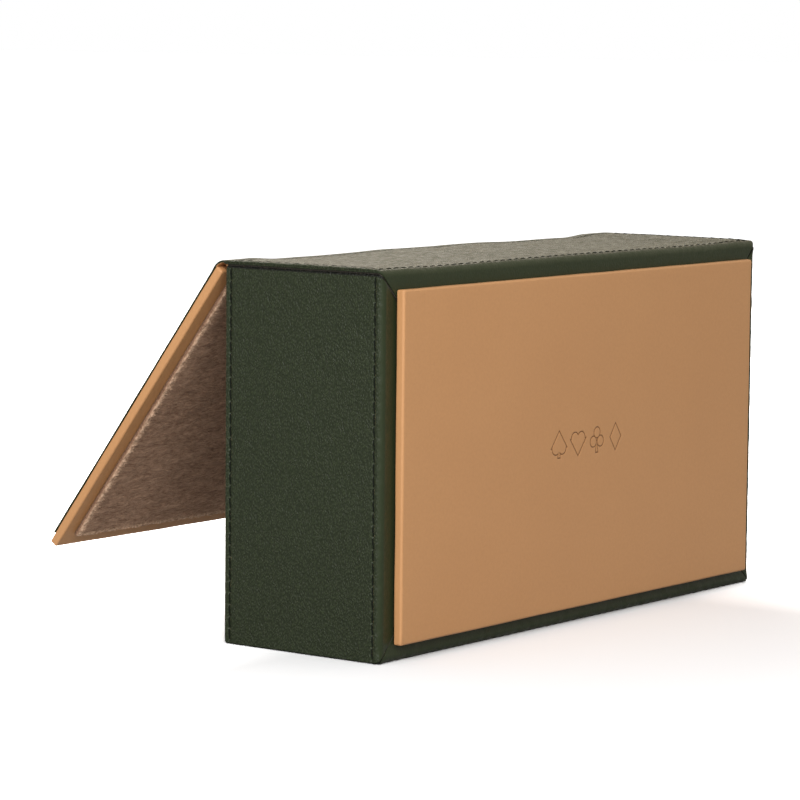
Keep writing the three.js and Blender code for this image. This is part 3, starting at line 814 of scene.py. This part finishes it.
class SpineSheet:
    """The sheet, by (u, x), from the lid's free edge over the hinge and its wall to the base."""

    def __init__(self):
        self.outline = spine_outline()
        hinge_begin, hinge_length = self.outline.bends[0][:2]
        self.wall_begin, _, wall_start = self.outline.runs[1][:3]
        self.fold_begin = self.outline.bends[1][0]
        self.fold_end = self.fold_begin + self.outline.bends[1][1]
        self.u_hinge = hinge_begin + hinge_length / 2
        self.u_rim = self.wall_begin + wall_start[0] - MOUTH_Y
        self.u_mouth = self.wall_begin + wall_start[0] - MOUTH_SEAM_Y
        self.u_base = self.wall_begin + wall_start[0] - BASE_SEAM_Y
        self.u_lid_seam = SKIN_HIGH[2] - HINGE_SEAM_S
        self.u_free_seam = SKIN_HIGH[2] - FREE_SEAM_S
        self.u_short = (self.u_mouth + self.u_base) / 2

    def rows(self):
        seams = (self.u_free_seam, self.u_lid_seam, self.u_mouth)
        fine = [(u, SEAM_ROWS, FINE) for u in seams] + [(self.u_base, BASE_SEAM_ROWS, FINE)]
        fine += [(0.0, 0.5, 0.1)] + self.outline.fine_bends(0.35)
        rows = stations(0.0, self.outline.length, COARSE, fine)
        return without_doubles(np.append(rows, self.u_short + hole_places(SHORT_SEAM)))

    def between(self, u, fold_begin, on_lid, on_wall, fold, end):
        """A width that changes over the rim and over the base fold."""
        rim, length = self.u_rim, self.outline.length
        at = [0.0, rim - 1.8, rim + 0.5, fold_begin, self.fold_end, length]
        return np.interp(u, at, [on_lid, on_lid, on_wall, on_wall, fold, end])

    def half_length(self, u):
        fold = END_X - SPINE_BASE_RADIUS + SPINE_TOP - HEIGHT
        end = END_X - BASE_TURN_IN
        return self.between(u, self.fold_begin + 1, LID_X - 0.1, SPINE_X, fold, end)

    def thickness(self, u):
        return self.between(u, self.fold_begin, SPINE_ON_LID, SPINE_ON_WALL, TURN_DOWN, TURN_DOWN)

    def sway(self, u, x):
        """The broad unevenness: raised over the wall's turned ends, and creased at the hinge."""
        y = self.outline.at(u[:, 0])[0][:, :1]
        share = smooth((u - self.u_hinge + 5.0) / 6.0) * plateau_share(y)
        past_fold = plateau_share(BASE_Y) * smooth((self.fold_end + 1 - u) / 3)
        lift = spine_plateau(x) * np.where(u > self.fold_begin, past_fold, share)
        lift += FAINT * Ripple(53, 30.0)(u, x) * np.where(u < self.u_hinge, 0.6, 1.0)
        to_hinge = u - self.u_hinge
        crease = np.cos(math.tau * to_hinge / HINGE_CREASE) * hill(to_hinge, HINGE_CREASE_REACH)
        return lift + FAINT * crease * (0.6 + 0.4 * Ripple(57, 14.0)(u, x))

    def seams(self, u, x):
        lift = seam_relief(self.u_free_seam - u, x, LONG_SEAM, LID_PUFF)
        lift += seam_relief(u - self.u_lid_seam, x, LONG_SEAM, LID_PUFF)
        lift += seam_relief(self.u_mouth - u, x, LONG_SEAM, MOUTH_PUFF)
        lift += seam_relief(u - self.u_base, x, LONG_SEAM, 0.0, SPINE_BASE_HOLE)
        along = u - self.u_short
        within = np.abs(along) < SHORT_SEAM[0] / 2 + 1.0
        for side in (-1, 1):
            lift += within * seam_relief(side * x - SHORT_SEAM_X, along, SHORT_SEAM)
        return lift


def along_x(a, b, x):
    """Stands a (y, z) section up at x."""
    return x, a, b


def spine_sheet():
    sheet = SpineSheet()
    u = sheet.rows()[:, None]
    end = (SPINE_X, 0.3, 60)
    v = columns(LONG_SEAM, end, end)[None, :]
    flat, normal = sheet.outline.at(u[:, 0])
    lift = sheet.sway(u, v) + sheet.seams(u, v)
    lift = lift - roll_drop(-v, *end[:2]) - roll_drop(v, *end[:2]) - roll_drop(-u, 0.0, 0.2)
    half = sheet.half_length(u)
    outer = surface(flat, normal, lift, v * half / SPINE_X, along_x)
    inner = surface(flat, normal, -sheet.thickness(u), spread(24, half - 0.05), along_x)
    layer = [(0.12, 0.12), (0.3, 0.17), (0.44, 0.1)]  # the cut end is two rounded layers
    nose = [*layer, (0.5, -0.2), (0.56, 0.1), (0.72, 0.17), (0.9, 0.1)]
    nodes = ["spine_cover", "lid_skin"]
    return hinged(finish_sheet("spine_leather", outer, inner, GREEN, nodes, nose))


def hinged(made):
    """Bakes a piece's placement into its mesh."""
    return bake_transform(made)


def hinge_fold():
    """Tan lining under the spine sheet, from the hinge wall's rim to the lid's hinged edge."""
    sheet = SpineSheet()
    u = np.linspace(SKIN_HIGH[2] - LID_LOW[2] - 0.3, sheet.u_rim - 0.5, 24)[:, None]
    v = spread(150, LID_X - 0.2)
    flat, normal = sheet.outline.at(u[:, 0])
    lift = sheet.sway(u, v) - sheet.thickness(u) - FOLD_GAP
    outer = surface(flat, normal, lift, v, along_x)
    inner = surface(flat, normal, lift - FOLD_THICKNESS, v, along_x)
    return hinged(finish_sheet("hinge_fold", outer, inner, TAN))


def hinge_lining():
    """Tan leatherette round the hinge wall's rim: from a flange inside to the top of the rim."""
    _, flange_y, under_rim = box_mm("hinge_lining")[0]
    corners = [(flange_y, under_rim), (MOUTH_Y, under_rim), (MOUTH_Y, HEIGHT - 0.1)]
    outline = Outline(corners, [0.7], side=-1)
    u = stations(0.0, outline.length, 1.0, outline.fine_bends())[:, None]
    flat, normal = outline.at(u[:, 0])
    mitred = END_X - (HEIGHT - flat[:, 1:]) - MITRE_GAP
    half = np.where(flat[:, :1] < MOUTH_Y - 1.0, mitred[0] - 0.6, mitred)
    v = np.linspace(-1, 1, 180)[None, :]
    lift = 0.06 * Ripple(61, 18.0)(u, v * half) - 0.3 * smooth((0.6 - u) / 0.6)
    outer = surface(flat, normal, lift, v * half, along_x)
    inner = surface(flat, normal, -RIM_WRAP, spread(COVER_COLUMNS, half - 0.3), along_x)
    made = finish_sheet("hinge_lining_leather", outer, inner, TAN, ["hinge_lining"])
    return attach(made, "shell")


# ---- stitches


def level(along):
    """The height of a seam in flat leatherette."""
    return 0.0


def stitches(wall, seam, place, seed, rise=level, body="shell"):
    """A seam's stitches, each a twisted thread that leaves one needle hole and enters the next.

    place turns (along, across, up) into (x, y, z), and rise gives the height along the seam."""
    run, count = seam
    rng = np.random.default_rng(seed)
    pitch = run / count
    t = np.linspace(0, 1, STITCH_RINGS)[None, :, None]
    angle = (math.tau * np.arange(STITCH_SIDES) / STITCH_SIDES)[None, None, :]
    start = (-run / 2 + pitch * np.arange(count))[:, None, None]
    slant = STITCH_SLANT * rng.uniform(0.6, 1.4, (count, 1, 1))
    height = rng.uniform(-0.03, 0.03, (count, 1, 1))
    arch = np.sin(math.pi * t) ** 0.3
    twist = 1 + THREAD_TWIST * np.cos(2 * angle - 15 * t)
    radius = THREAD_RADIUS * twist * (0.55 + 0.45 * np.sin(math.pi * t) ** 0.4)
    along = start + pitch * (0.05 + 0.9 * t) + 0 * angle
    across = slant * (2 * t - 1) + radius * np.cos(angle) + 0 * start
    up = height - THREAD_DEPTH + THREAD_ARCH * arch + radius * np.sin(angle) + rise(along)
    points = np.stack(place(along, across, up), axis=-1).reshape(-1, 3)
    one = np.arange(STITCH_RINGS * STITCH_SIDES).reshape(STITCH_RINGS, STITCH_SIDES)
    faces = grid_faces(np.concatenate([one, one[:, :1]], axis=1))
    faces += [one[0][::-1].tolist(), one[-1].tolist()]
    size = one.size
    every = [[i + k * size for i in face] for k in range(count) for face in faces]
    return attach(make_object(f"{wall}_stitches", points, every, THREAD, [f"{wall}_seam"]), body)


def end_stitches(side, sign, row, y, seed):
    def place(along, across, up):
        return sign * END_X + sign * up, y + across, HEIGHT / 2 + along

    stitches(f"{side}_end_{row}", seam_of(HEIGHT - 2 * SEAM_END), place, seed)


def rest_wall_stitches(row, y):
    def place(along, across, up):
        return along, y + across, -up

    stitches(f"rest_wall_{row}", LONG_SEAM, place, 151)


def spine_stitches(row, y, proud):
    def place(along, across, up):
        return along, y + across, SPINE_TOP + up

    def rise(along):
        return float(plateau_share(y)) * spine_plateau(along) + proud

    stitches(f"spine_{row}", LONG_SEAM, place, 157, rise)


def short_edge_stitches(side, sign, seed):
    middle = (MOUTH_SEAM_Y + BASE_SEAM_Y) / 2
    plateau = spine_plateau(SHORT_SEAM_X)

    def place(along, across, up):
        return sign * SHORT_SEAM_X + across, middle + along, SPINE_TOP + plateau + up

    def rise(along):
        return plateau * (plateau_share(middle + along) - 1) + PROUD_THREAD

    stitches(f"spine_{side}", SHORT_SEAM, place, seed, rise)


def lid_stitches(row, s, seed):
    """Stitches through the lid's skin, which is drawn in from the spine's to the lid's length."""
    run, count = LONG_SEAM

    def place(along, across, up):
        return along, *lid_point(SKIN_HIGH[1] + up, s + across)

    stitches(f"lid_{row}", (run * LID_X / SPINE_X, count), place, seed, body="lid")


def all_stitches():
    for side, sign in (("left", -1), ("right", 1)):
        end_stitches(side, sign, "mouth", MOUTH_SEAM_Y, 141 + sign)
        end_stitches(side, sign, "base", BASE_SEAM_Y, 146 + sign)
        short_edge_stitches(side, sign, 131 + sign)
    rows = (("mouth", MOUTH_SEAM_Y, -SUNK_THREAD), ("base", BASE_SEAM_Y, PROUD_THREAD))
    for row, y, proud in rows:
        rest_wall_stitches(row, y)
        spine_stitches(row, y, proud)
    lid_stitches("hinge", HINGE_SEAM_S, 163)
    lid_stitches("free_edge", FREE_SEAM_S, 167)


# ---- rounded slabs


def slab_places(half, radius, inner):
    """Grid lines across a slab: its own inner ones, and an even fan round each edge."""
    fan = half - radius + radius * np.tan(np.radians(np.linspace(0, 45, 6)))
    inner = inner[np.abs(inner) < half - radius - 0.05]
    return np.concatenate([-fan[::-1], inner, fan])


def rounded_slab(a, b, c, radius):
    """A closed slab on the grid lines a, b and c, centred on the origin and rounded by radius.

    Returns its points, their outward normals, and the quads of its six sides by side number."""
    shape = (len(a), len(b), len(c))
    ids = np.full(shape, -1)
    skin = np.zeros(shape, bool)
    skin[[0, -1]] = skin[:, [0, -1]] = skin[:, :, [0, -1]] = True
    ids[skin] = np.arange(skin.sum())
    i, j, k = np.nonzero(skin)
    corner = np.stack([a[i], b[j], c[k]], axis=1)
    half = np.array([a[-1], b[-1], c[-1]])
    core = np.clip(corner, -(half - radius), half - radius)
    normal = corner - core
    normal /= np.linalg.norm(normal, axis=1)[:, None]
    points = core + normal * radius
    sides = {}
    for axis in range(3):
        low, high = ids.take(0, axis), ids.take(-1, axis)
        flip = axis == 1
        sides[(axis, 0)] = grid_faces(low.T if not flip else low)
        sides[(axis, 1)] = grid_faces(high if not flip else high.T)
    return points, normal, sides


# ---- tan wrapped boards


def suit_distance(suit, x, y):
    """Distance from the edge of a playing card suit one unit high, negative inside."""
    if suit == "diamond":
        return (0.5 * np.abs(x) + 0.36 * np.abs(y) - 0.18) / math.hypot(0.5, 0.36)
    if suit == "club":
        centres = ((0.0, 0.24), (-0.23, -0.08), (0.23, -0.08))
        leaves = [np.hypot(x - centre_x, y - centre_y) - 0.2 for centre_x, centre_y in centres]
        return np.minimum.reduce(leaves + [stem_distance(x, y)])
    up = -y if suit == "heart" else y
    side = np.abs(x)
    lobe = np.hypot(side - 0.2, up + 0.12) - 0.24
    point = np.maximum((side * 0.62 + (up - 0.5) * 0.5) / math.hypot(0.62, 0.5), -0.12 - up)
    body = np.minimum(lobe, point)
    return body if suit == "heart" else np.minimum(body, stem_distance(x, y))


def stem_distance(x, y):
    """A short stem that widens to its foot."""
    width = 0.035 + 0.16 * np.clip(-0.2 - y, 0, 0.3)
    return np.maximum(np.abs(x) - width, np.maximum(-0.48 - y, y + 0.05))


def suit_row(a, b):
    """How far the row of four suits is stamped in at (a, b), from 0 to 1."""
    stamped = np.zeros(a.shape)
    for i, suit in enumerate(("spade", "heart", "club", "diamond")):
        x = (a - (i - 1.5) * MOTIF_PITCH) / MOTIF_HEIGHT
        distance = np.abs(suit_distance(suit, x, b / MOTIF_HEIGHT)) * MOTIF_HEIGHT
        stamped = np.maximum(stamped, smooth((MOTIF_LINE - distance) / MOTIF_SOFTNESS + 0.5))
    return stamped


def wrapped_board(name, node, half, place, body, seed, motif=False):
    """A board wrapped in tan leatherette, open on its back. half gives its half sizes."""
    reach = (2.2 * MOTIF_PITCH, 0.62 * MOTIF_HEIGHT)
    lines = []
    for i in (0, 1):
        fine = [(0.0, reach[i], MOTIF_STEP)] if motif else []
        inner = stations(-half[i], half[i], SLAB_STEP, fine)
        lines.append(slab_places(half[i], SLAB_RADIUS, inner))
    lines.append(slab_places(half[2], SLAB_RADIUS, np.linspace(-half[2], half[2], 9)[1:-1]))
    points, normal, sides = rounded_slab(*lines, SLAB_RADIUS)
    a, b, c = points.T
    lift = WRAP_RIPPLE * Ripple(seed, 34.0)(a, b + c)
    from_side, from_edge = half[0] - np.abs(a), half[1] - np.abs(b)
    pleat = np.cos(7 * np.arctan2(from_edge, from_side) + 3 * c)
    lift += PLEAT_HEIGHT * pleat * hill(np.hypot(from_side, from_edge), PLEAT_REACH)
    foil = np.zeros(len(points))
    if motif:
        foil = np.where(normal[:, 2] > 0.99, suit_row(a, b), 0.0)
        lift -= MOTIF_DEPTH * foil
    back = np.array(sides[(2, 0)])
    middles = np.abs(points[back].mean(axis=1)[:, :2])
    sides[(2, 0)] = back[(middles >= half[:2] - SLAB_OPEN_MARGIN).any(axis=1)].tolist()

    placed = np.stack(place(*(points + normal * lift[:, None]).T), axis=-1)
    faces = [quad for quads in sides.values() for quad in quads]
    made = make_object(name, placed, faces, TAN, [node])
    paint(made, "foil", foil)
    wall = made.modifiers.new("thickness", "SOLIDIFY")
    wall.thickness = TAN_COVER * MM
    wall.offset = -1.0
    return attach(made, body)


def lid_place(middle):
    """Turns a slab's (x, towards the free edge, inwards) into (x, y, z) about middle (x, n, s)."""

    def place(a, b, c):
        return a, *lid_point(middle[1] - c, middle[2] + b)

    return place


def wrapped_boards():
    low, high = box_mm("base_panel_cover")
    middle = (low + high) / 2

    def place(a, b, c):
        return middle[0] + a, middle[1] - c, middle[2] + b

    half = ((high - low) / 2)[[0, 2, 1]]
    wrapped_board("base_panel_leather", "base_panel_cover", half, place, "shell", 71, motif=True)
    half = ((LID_HIGH - LID_LOW) / 2)[[0, 2, 1]]
    wrapped_board("lid_leather", "lid_cover", half, lid_place((LID_LOW + LID_HIGH) / 2), "lid", 73)


# ---- plush


def plush_slab(name, node, half, place, body, seed, crown, step=PLUSH_STEP):
    """A brushed plush cover. crown(a, b) lifts its face, and tufts break it up."""
    radius = min(half[2] * 0.95, PILE_RADIUS)
    lines = []
    for h in half[:2]:
        fine = [(-h, 3.0, 0.5), (h, 3.0, 0.5)]
        lines.append(slab_places(h, radius, stations(-h, h, step, fine)))
    lines.append(slab_places(half[2], radius, np.zeros(1)))
    points, normal, sides = rounded_slab(*lines, radius)
    a, b, c = points.T
    facing = np.clip(normal[:, 2] + 0.35, 0, 1)
    to_rim = np.minimum(half[0] - np.abs(a), half[1] - np.abs(b))
    # rim: 1 along the face's rim, for taller tufts, more hairs and a painted highlight; negative down
    # the sides, for painted shade
    rim = hill(to_rim - 0.8, 1.0) * np.clip(normal[:, 2] + 0.2, 0, 1)
    rim -= np.clip(0.55 - normal[:, 2], 0, 1)
    tuft = Ripple(seed, 2.4, waves=34, stretch=(2.2, 1.0))(a, b + 1.7 * c)
    tuft *= TUFT + RIM_TUFT * np.clip(rim, 0, 1)
    cloud = Ripple(seed + 1, 15.0)(a, b)
    lift = facing * (tuft + PLUSH_CLOUD * cloud) + crown(a, b) * np.clip(normal[:, 2], 0, 1)
    points += normal * lift[:, None]
    faces = [quad for quads in sides.values() for quad in quads]
    hairs, hair_faces, roots = pile(points, normal, np.array(faces), rim, half[:2], seed)
    faces += (hair_faces + len(points)).tolist()
    placed = np.stack(place(*np.concatenate([points, hairs]).T), axis=-1)
    made = make_object(name, placed, faces, PLUSH, [node])
    # the rim values paint the highlight on the rims and the shade down the sides
    paint(made, "rim", np.concatenate([rim, roots]))
    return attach(made, body)


def pile(points, normal, quads, rim, half, seed):
    """Points, faces and rim values of short hairs brushed along the slab, denser over its rims. The
    rim values, with a random share, set how much painted highlight each hair gets, and give a few
    hairs a little painted shade.
    """
    rng = np.random.default_rng(seed + 2)
    quads = quads[normal[quads].mean(axis=1)[:, 2] > 0.2]
    a, b, c, d = (points[quads[:, k]] for k in range(4))
    area = np.linalg.norm(np.cross(c - a, d - b), axis=1) / 2
    edge_share = np.clip(rim[quads].mean(axis=1), 0, 1)
    weight = area * (1 + 5 * edge_share)
    count = int(weight.sum() * PILE_DENSITY)
    chosen = rng.choice(len(quads), count, p=weight / weight.sum())
    along, across = rng.uniform(0, 1, (2, count, 1))
    root = (a[chosen] * (1 - along) + b[chosen] * along) * (1 - across)
    root += (d[chosen] * (1 - along) + c[chosen] * along) * across
    up = normal[quads[chosen]].mean(axis=1)
    edge = edge_share[chosen]
    spread = rng.normal(0, 1, (count, 3)) * np.array([0.15, 0.3, 0.1])
    way = np.array([1.0, -0.15, 0.0]) + spread + up * (0.2 + 0.5 * edge)[:, None]
    way /= np.linalg.norm(way, axis=1)[:, None]
    length = PILE_LENGTH * rng.uniform(0.6, 1.3, count) * (1 - 0.35 * edge)
    aside = np.cross(way, up)
    aside /= np.linalg.norm(aside, axis=1)[:, None]
    root = root - up * 0.03
    tip = root + way * length[:, None]
    outline = half + rng.uniform(0, HAIR_OVERHANG, (count, 1))
    tip[:, :2] = np.clip(tip[:, :2], -outline, outline)
    foot = [root + aside * HAIR_WIDTH, root - aside * HAIR_WIDTH, root + up * HAIR_WIDTH * 1.4]
    hairs = np.stack([*foot, tip], axis=1).reshape(-1, 3)
    one = np.array([(0, 1, 2), (1, 0, 3), (0, 2, 3), (2, 1, 3)])
    faces = (4 * np.arange(count)[:, None, None] + one).reshape(-1, 3)
    return hairs, faces, np.repeat(np.clip(edge + rng.uniform(-0.25, 0.4, count), -1, 1), 4)


def crowned(half, height, reach):
    """A soft crown that rises from the slab's rim over reach."""

    def crown(a, b):
        to_rim = np.minimum(half[0] - np.abs(a), half[1] - np.abs(b))
        return height * smooth(to_rim / reach) ** 0.7

    return crown


def simulated_crown(half):
    """The height over the pad of cloth that is pinned round its card and blown up a little."""
    cells = [int(2 * h / CLOTH_CELL) for h in half[:2]]
    a = np.linspace(-half[0], half[0], cells[0] + 1)
    b = np.linspace(-half[1], half[1], cells[1] + 1)
    grid_a, grid_b = np.meshgrid(a, b, indexing="ij")
    points = np.stack([grid_a, grid_b, 0 * grid_a], axis=-1).reshape(-1, 3)
    index = np.arange(len(points)).reshape(grid_a.shape)
    mesh = bpy.data.meshes.new("plush_cloth")
    mesh.from_pydata((points * MM).tolist(), [], grid_faces(index))
    cloth = stand("plush_cloth", mesh)
    border = np.concatenate([index[0], index[-1], index[:, 0], index[:, -1]])
    cloth.vertex_groups.new(name="pinned").add([int(i) for i in border], 1.0, "REPLACE")
    run = cloth.modifiers.new("cloth", "CLOTH").settings
    run.vertex_group_mass = "pinned"
    run.effector_weights.gravity = 0.0
    run.use_pressure = True
    run.uniform_pressure_force = CLOTH_PRESSURE
    run.shrink_min = CLOTH_SLACK
    for step in range(1, CLOTH_FRAMES + 1):
        bpy.context.scene.frame_set(step)
    depsgraph = bpy.context.evaluated_depsgraph_get()
    settled = cloth.evaluated_get(depsgraph).to_mesh()
    z = np.array([v.co.z for v in settled.vertices]) / MM
    bpy.data.objects.remove(cloth)
    bpy.context.scene.frame_set(1)
    height = np.abs(z).reshape(grid_a.shape)
    height = np.minimum(height / max(np.percentile(height, 90), 1e-6), 1.3) * PAD_CROWN
    return lambda p, q: bilinear(height, (p - a[0]) / (a[1] - a[0]), (q - b[0]) / (b[1] - b[0]))


def bilinear(grid, i, j):
    i = np.clip(i, 0, grid.shape[0] - 1.001)
    j = np.clip(j, 0, grid.shape[1] - 1.001)
    i0, j0 = i.astype(int), j.astype(int)
    di, dj = smooth(i - i0), smooth(j - j0)
    low = grid[i0, j0] * (1 - dj) + grid[i0, j0 + 1] * dj
    high = grid[i0 + 1, j0] * (1 - dj) + grid[i0 + 1, j0 + 1] * dj
    return low * (1 - di) + high * di


def lid_pad():
    half = (PAD_HIGH - PAD_LOW)[[0, 2, 1]] / 2
    crown = simulated_crown(half)
    place = lid_place((PAD_LOW + PAD_HIGH) / 2)
    return plush_slab("lid_pad", "lid_pad_plush", half, place, "lid", 79, crown, step=PAD_STEP)


def lining(name, node, axis, sign, trim, seed):
    """A wall's plush lining, LINING_PROUD of its CAD solid on the side that faces the wells."""
    low, high = box_mm(node)
    high = high - np.array([0.0, trim, 0.0])
    order = [i for i in (0, 1, 2) if i != axis] + [axis]  # along, across and out of the lining
    half = ((high - low)[order] + np.array([0.0, 0.0, LINING_PROUD])) / 2
    middle = (low + high) / 2
    middle[axis] += sign * LINING_PROUD / 2

    def place(a, b, c):
        made = dict(zip(order, (a, b, sign * c)))
        return [middle[i] + made[i] for i in (0, 1, 2)]

    return plush_slab(name, node, half, place, "shell", seed, crowned(half, LINING_CROWN, 5.0))


def linings():
    lining("floor_plush", "floor_lining", 1, 1, 0.0, 83)
    lining("rest_wall_plush", "rest_wall_lining", 2, 1, 0.4, 89)
    lining("hinge_wall_plush", "hinge_wall_lining", 2, -1, 0.1, 97)
    lining("left_end_plush", "left_end_lining", 0, 1, 0.4, 103)
    lining("right_end_plush", "right_end_lining", 0, -1, 0.4, 107)


def divider(name, node, seed):
    """Plush folded over a divider's rim and down both of its faces."""
    low, high = box_mm(node)
    half_thick, _, half = (high - low) / 2
    middle = (low + high) / 2
    left, right = ([(x, low[1]), (x, high[1])] for x in (-half_thick, half_thick))
    outline = Outline(left + right[::-1], [half_thick - 0.15] * 2, side=1)
    u = stations(0.0, outline.length, PLUSH_STEP, outline.fine_bends())[:, None]
    flat, normal = outline.at(u[:, 0])
    v = np.arange(-half, half, PLUSH_STEP)[None, :]
    lift = TUFT * Ripple(seed, 2.7, waves=34)(u, v) + 0.08 * Ripple(seed + 1, 16.0)(u, v)

    def section(a, b, along):
        return middle[0] + a, b, middle[2] + along

    outer = surface(flat, normal, lift, v, section)
    inner = surface(flat, normal, -0.5, np.linspace(v[0, 0], v[0, -1], 12)[None, :], section)
    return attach(finish_sheet(name, outer, inner, PLUSH, [node]), "shell")


# ---- pieces that keep their CAD shape


def finish_cad_nodes():
    """Boards and magnets keep their CAD meshes, and get the detailed materials."""
    for name, node in frame["nodes"].items():
        if node.hide_render:
            continue
        node.data.materials.clear()
        node.data.materials.append(MAGNET if "magnet" in name else BOARD)


# ---- stage, light and camera


def floor():
    """A pale floor. What the camera sees of it is brighter than what it throws back at the box, and
    brighter still away from the box, behind it and to its right: painted light that washes out the
    box's shadows there.
    """
    nodes = Nodes("floor")
    ray = nodes.add("ShaderNodeLightPath").outputs["Is Camera Ray"]
    away = nodes.add("ShaderNodeVectorMath", {0: nodes.place}, operation="LENGTH").outputs["Value"]
    place = nodes.add("ShaderNodeSeparateXYZ", {0: nodes.place}).outputs
    # painted light: the floor is shown whiter behind the box and to its right, so the box's shadows
    # there vanish
    behind, right = nodes.span(place["Y"], 0.0, 0.08), nodes.span(place["X"], 0.06, 0.18)
    aside = nodes.math("MAXIMUM", behind, right)
    bright = nodes.math("MAXIMUM", nodes.span(away, 0.2, 0.75), aside)
    shown = nodes.mix(bright, FLOOR_NEAR, FLOOR_FAR)
    colour = nodes.mix(ray, FLOOR_BOUNCE, shown)
    diffuse = nodes.add("ShaderNodeBsdfDiffuse", {"Color": colour}).outputs[0]
    nodes.feed(nodes.tree.nodes["Material Output"].inputs["Surface"], diffuse)
    mesh = bpy.data.meshes.new("floor")
    quarters = ((-1, -1), (1, -1), (1, 1), (-1, 1))
    corners = [(x * FLOOR_SIZE, y * FLOOR_SIZE, FLOOR_LEVEL) for x, y in quarters]
    mesh.from_pydata(corners, [], [(0, 1, 2, 3)])
    mesh.materials.append(nodes.material)
    stand("floor", mesh)


def studio_world():
    """White to the camera. Glossy surfaces see a bright backdrop and a dimmer room in front."""
    world = bpy.data.worlds.new("studio")
    world.use_nodes = True
    graph = Graph(world.node_tree)
    ray = graph.add("ShaderNodeLightPath").outputs
    towards = graph.add("ShaderNodeTexCoord").outputs["Generated"]
    heading = math.radians(CAMERA_HEADING)
    inputs = {0: towards, 1: (math.sin(heading), math.cos(heading), 0.0)}
    behind = graph.add("ShaderNodeVectorMath", inputs, operation="DOT_PRODUCT").outputs["Value"]
    gloss = graph.span(behind, -0.2, 0.7, GLOSS_FRONT, GLOSS_BACK)
    light = graph.span(ray["Is Glossy Ray"], 0.0, 1.0, DOME_LIGHT, gloss)
    strength = graph.span(ray["Is Camera Ray"], 0.0, 1.0, light, 1.0)
    background = graph.tree.nodes["Background"]
    graph.feed(background.inputs["Strength"], strength)
    tint = graph.mix(ray["Is Glossy Ray"], (1.0, 1.0, 1.0, 1.0), BACKDROP_TINT)
    graph.feed(background.inputs["Color"], tint)
    bpy.context.scene.world = world


def soft_light(name, place, size, power, colour):
    light = bpy.data.lights.new(name, "AREA")
    light.shape = "RECTANGLE"
    light.size, light.size_y = size
    light.energy = power
    light.color = colour
    made = stand(name, light)
    made.location = place
    made.rotation_mode = "QUATERNION"
    made.rotation_quaternion = (BOX_MIDDLE - Vector(place)).to_track_quat("-Z", "Y")


def camera():
    """A long lens at the box's left front corner, a little above it and rolled by half a degree."""
    heading, pitch, roll = (math.radians(x) for x in (CAMERA_HEADING, CAMERA_PITCH, CAMERA_ROLL))
    ahead = math.cos(pitch)
    forward = Vector((math.sin(heading) * ahead, math.cos(heading) * ahead, -math.sin(pitch)))
    aside = forward.cross(Vector((0, 0, 1))).normalized()
    upright = aside.cross(forward)
    right = math.cos(roll) * aside + math.sin(roll) * upright
    up = math.cos(roll) * upright - math.sin(roll) * aside
    data = bpy.data.cameras.new("camera")
    data.lens = CAMERA_LENS
    made = stand("camera", data)
    place = BOX_MIDDLE + Vector(CAMERA_AIM) - forward * CAMERA_DISTANCE
    turn = Matrix((right, up, -forward)).transposed().to_4x4()
    made.matrix_world = Matrix.Translation(place) @ turn
    bpy.context.scene.camera = made


def stage():
    floor()
    studio_world()
    for name, settings in LIGHTS.items():
        soft_light(name, *settings)
    bpy.context.scene.view_settings.view_transform = "Standard"
    camera()


# ---- the whole box

wall_covers()
spine_sheet()
hinge_lining()
hinge_fold()
all_stitches()
wrapped_boards()
lid_pad()
linings()
divider("divider_1_plush", "divider_1_cover", 109)
divider("divider_2_plush", "divider_2_cover", 113)
finish_cad_nodes()
stage()
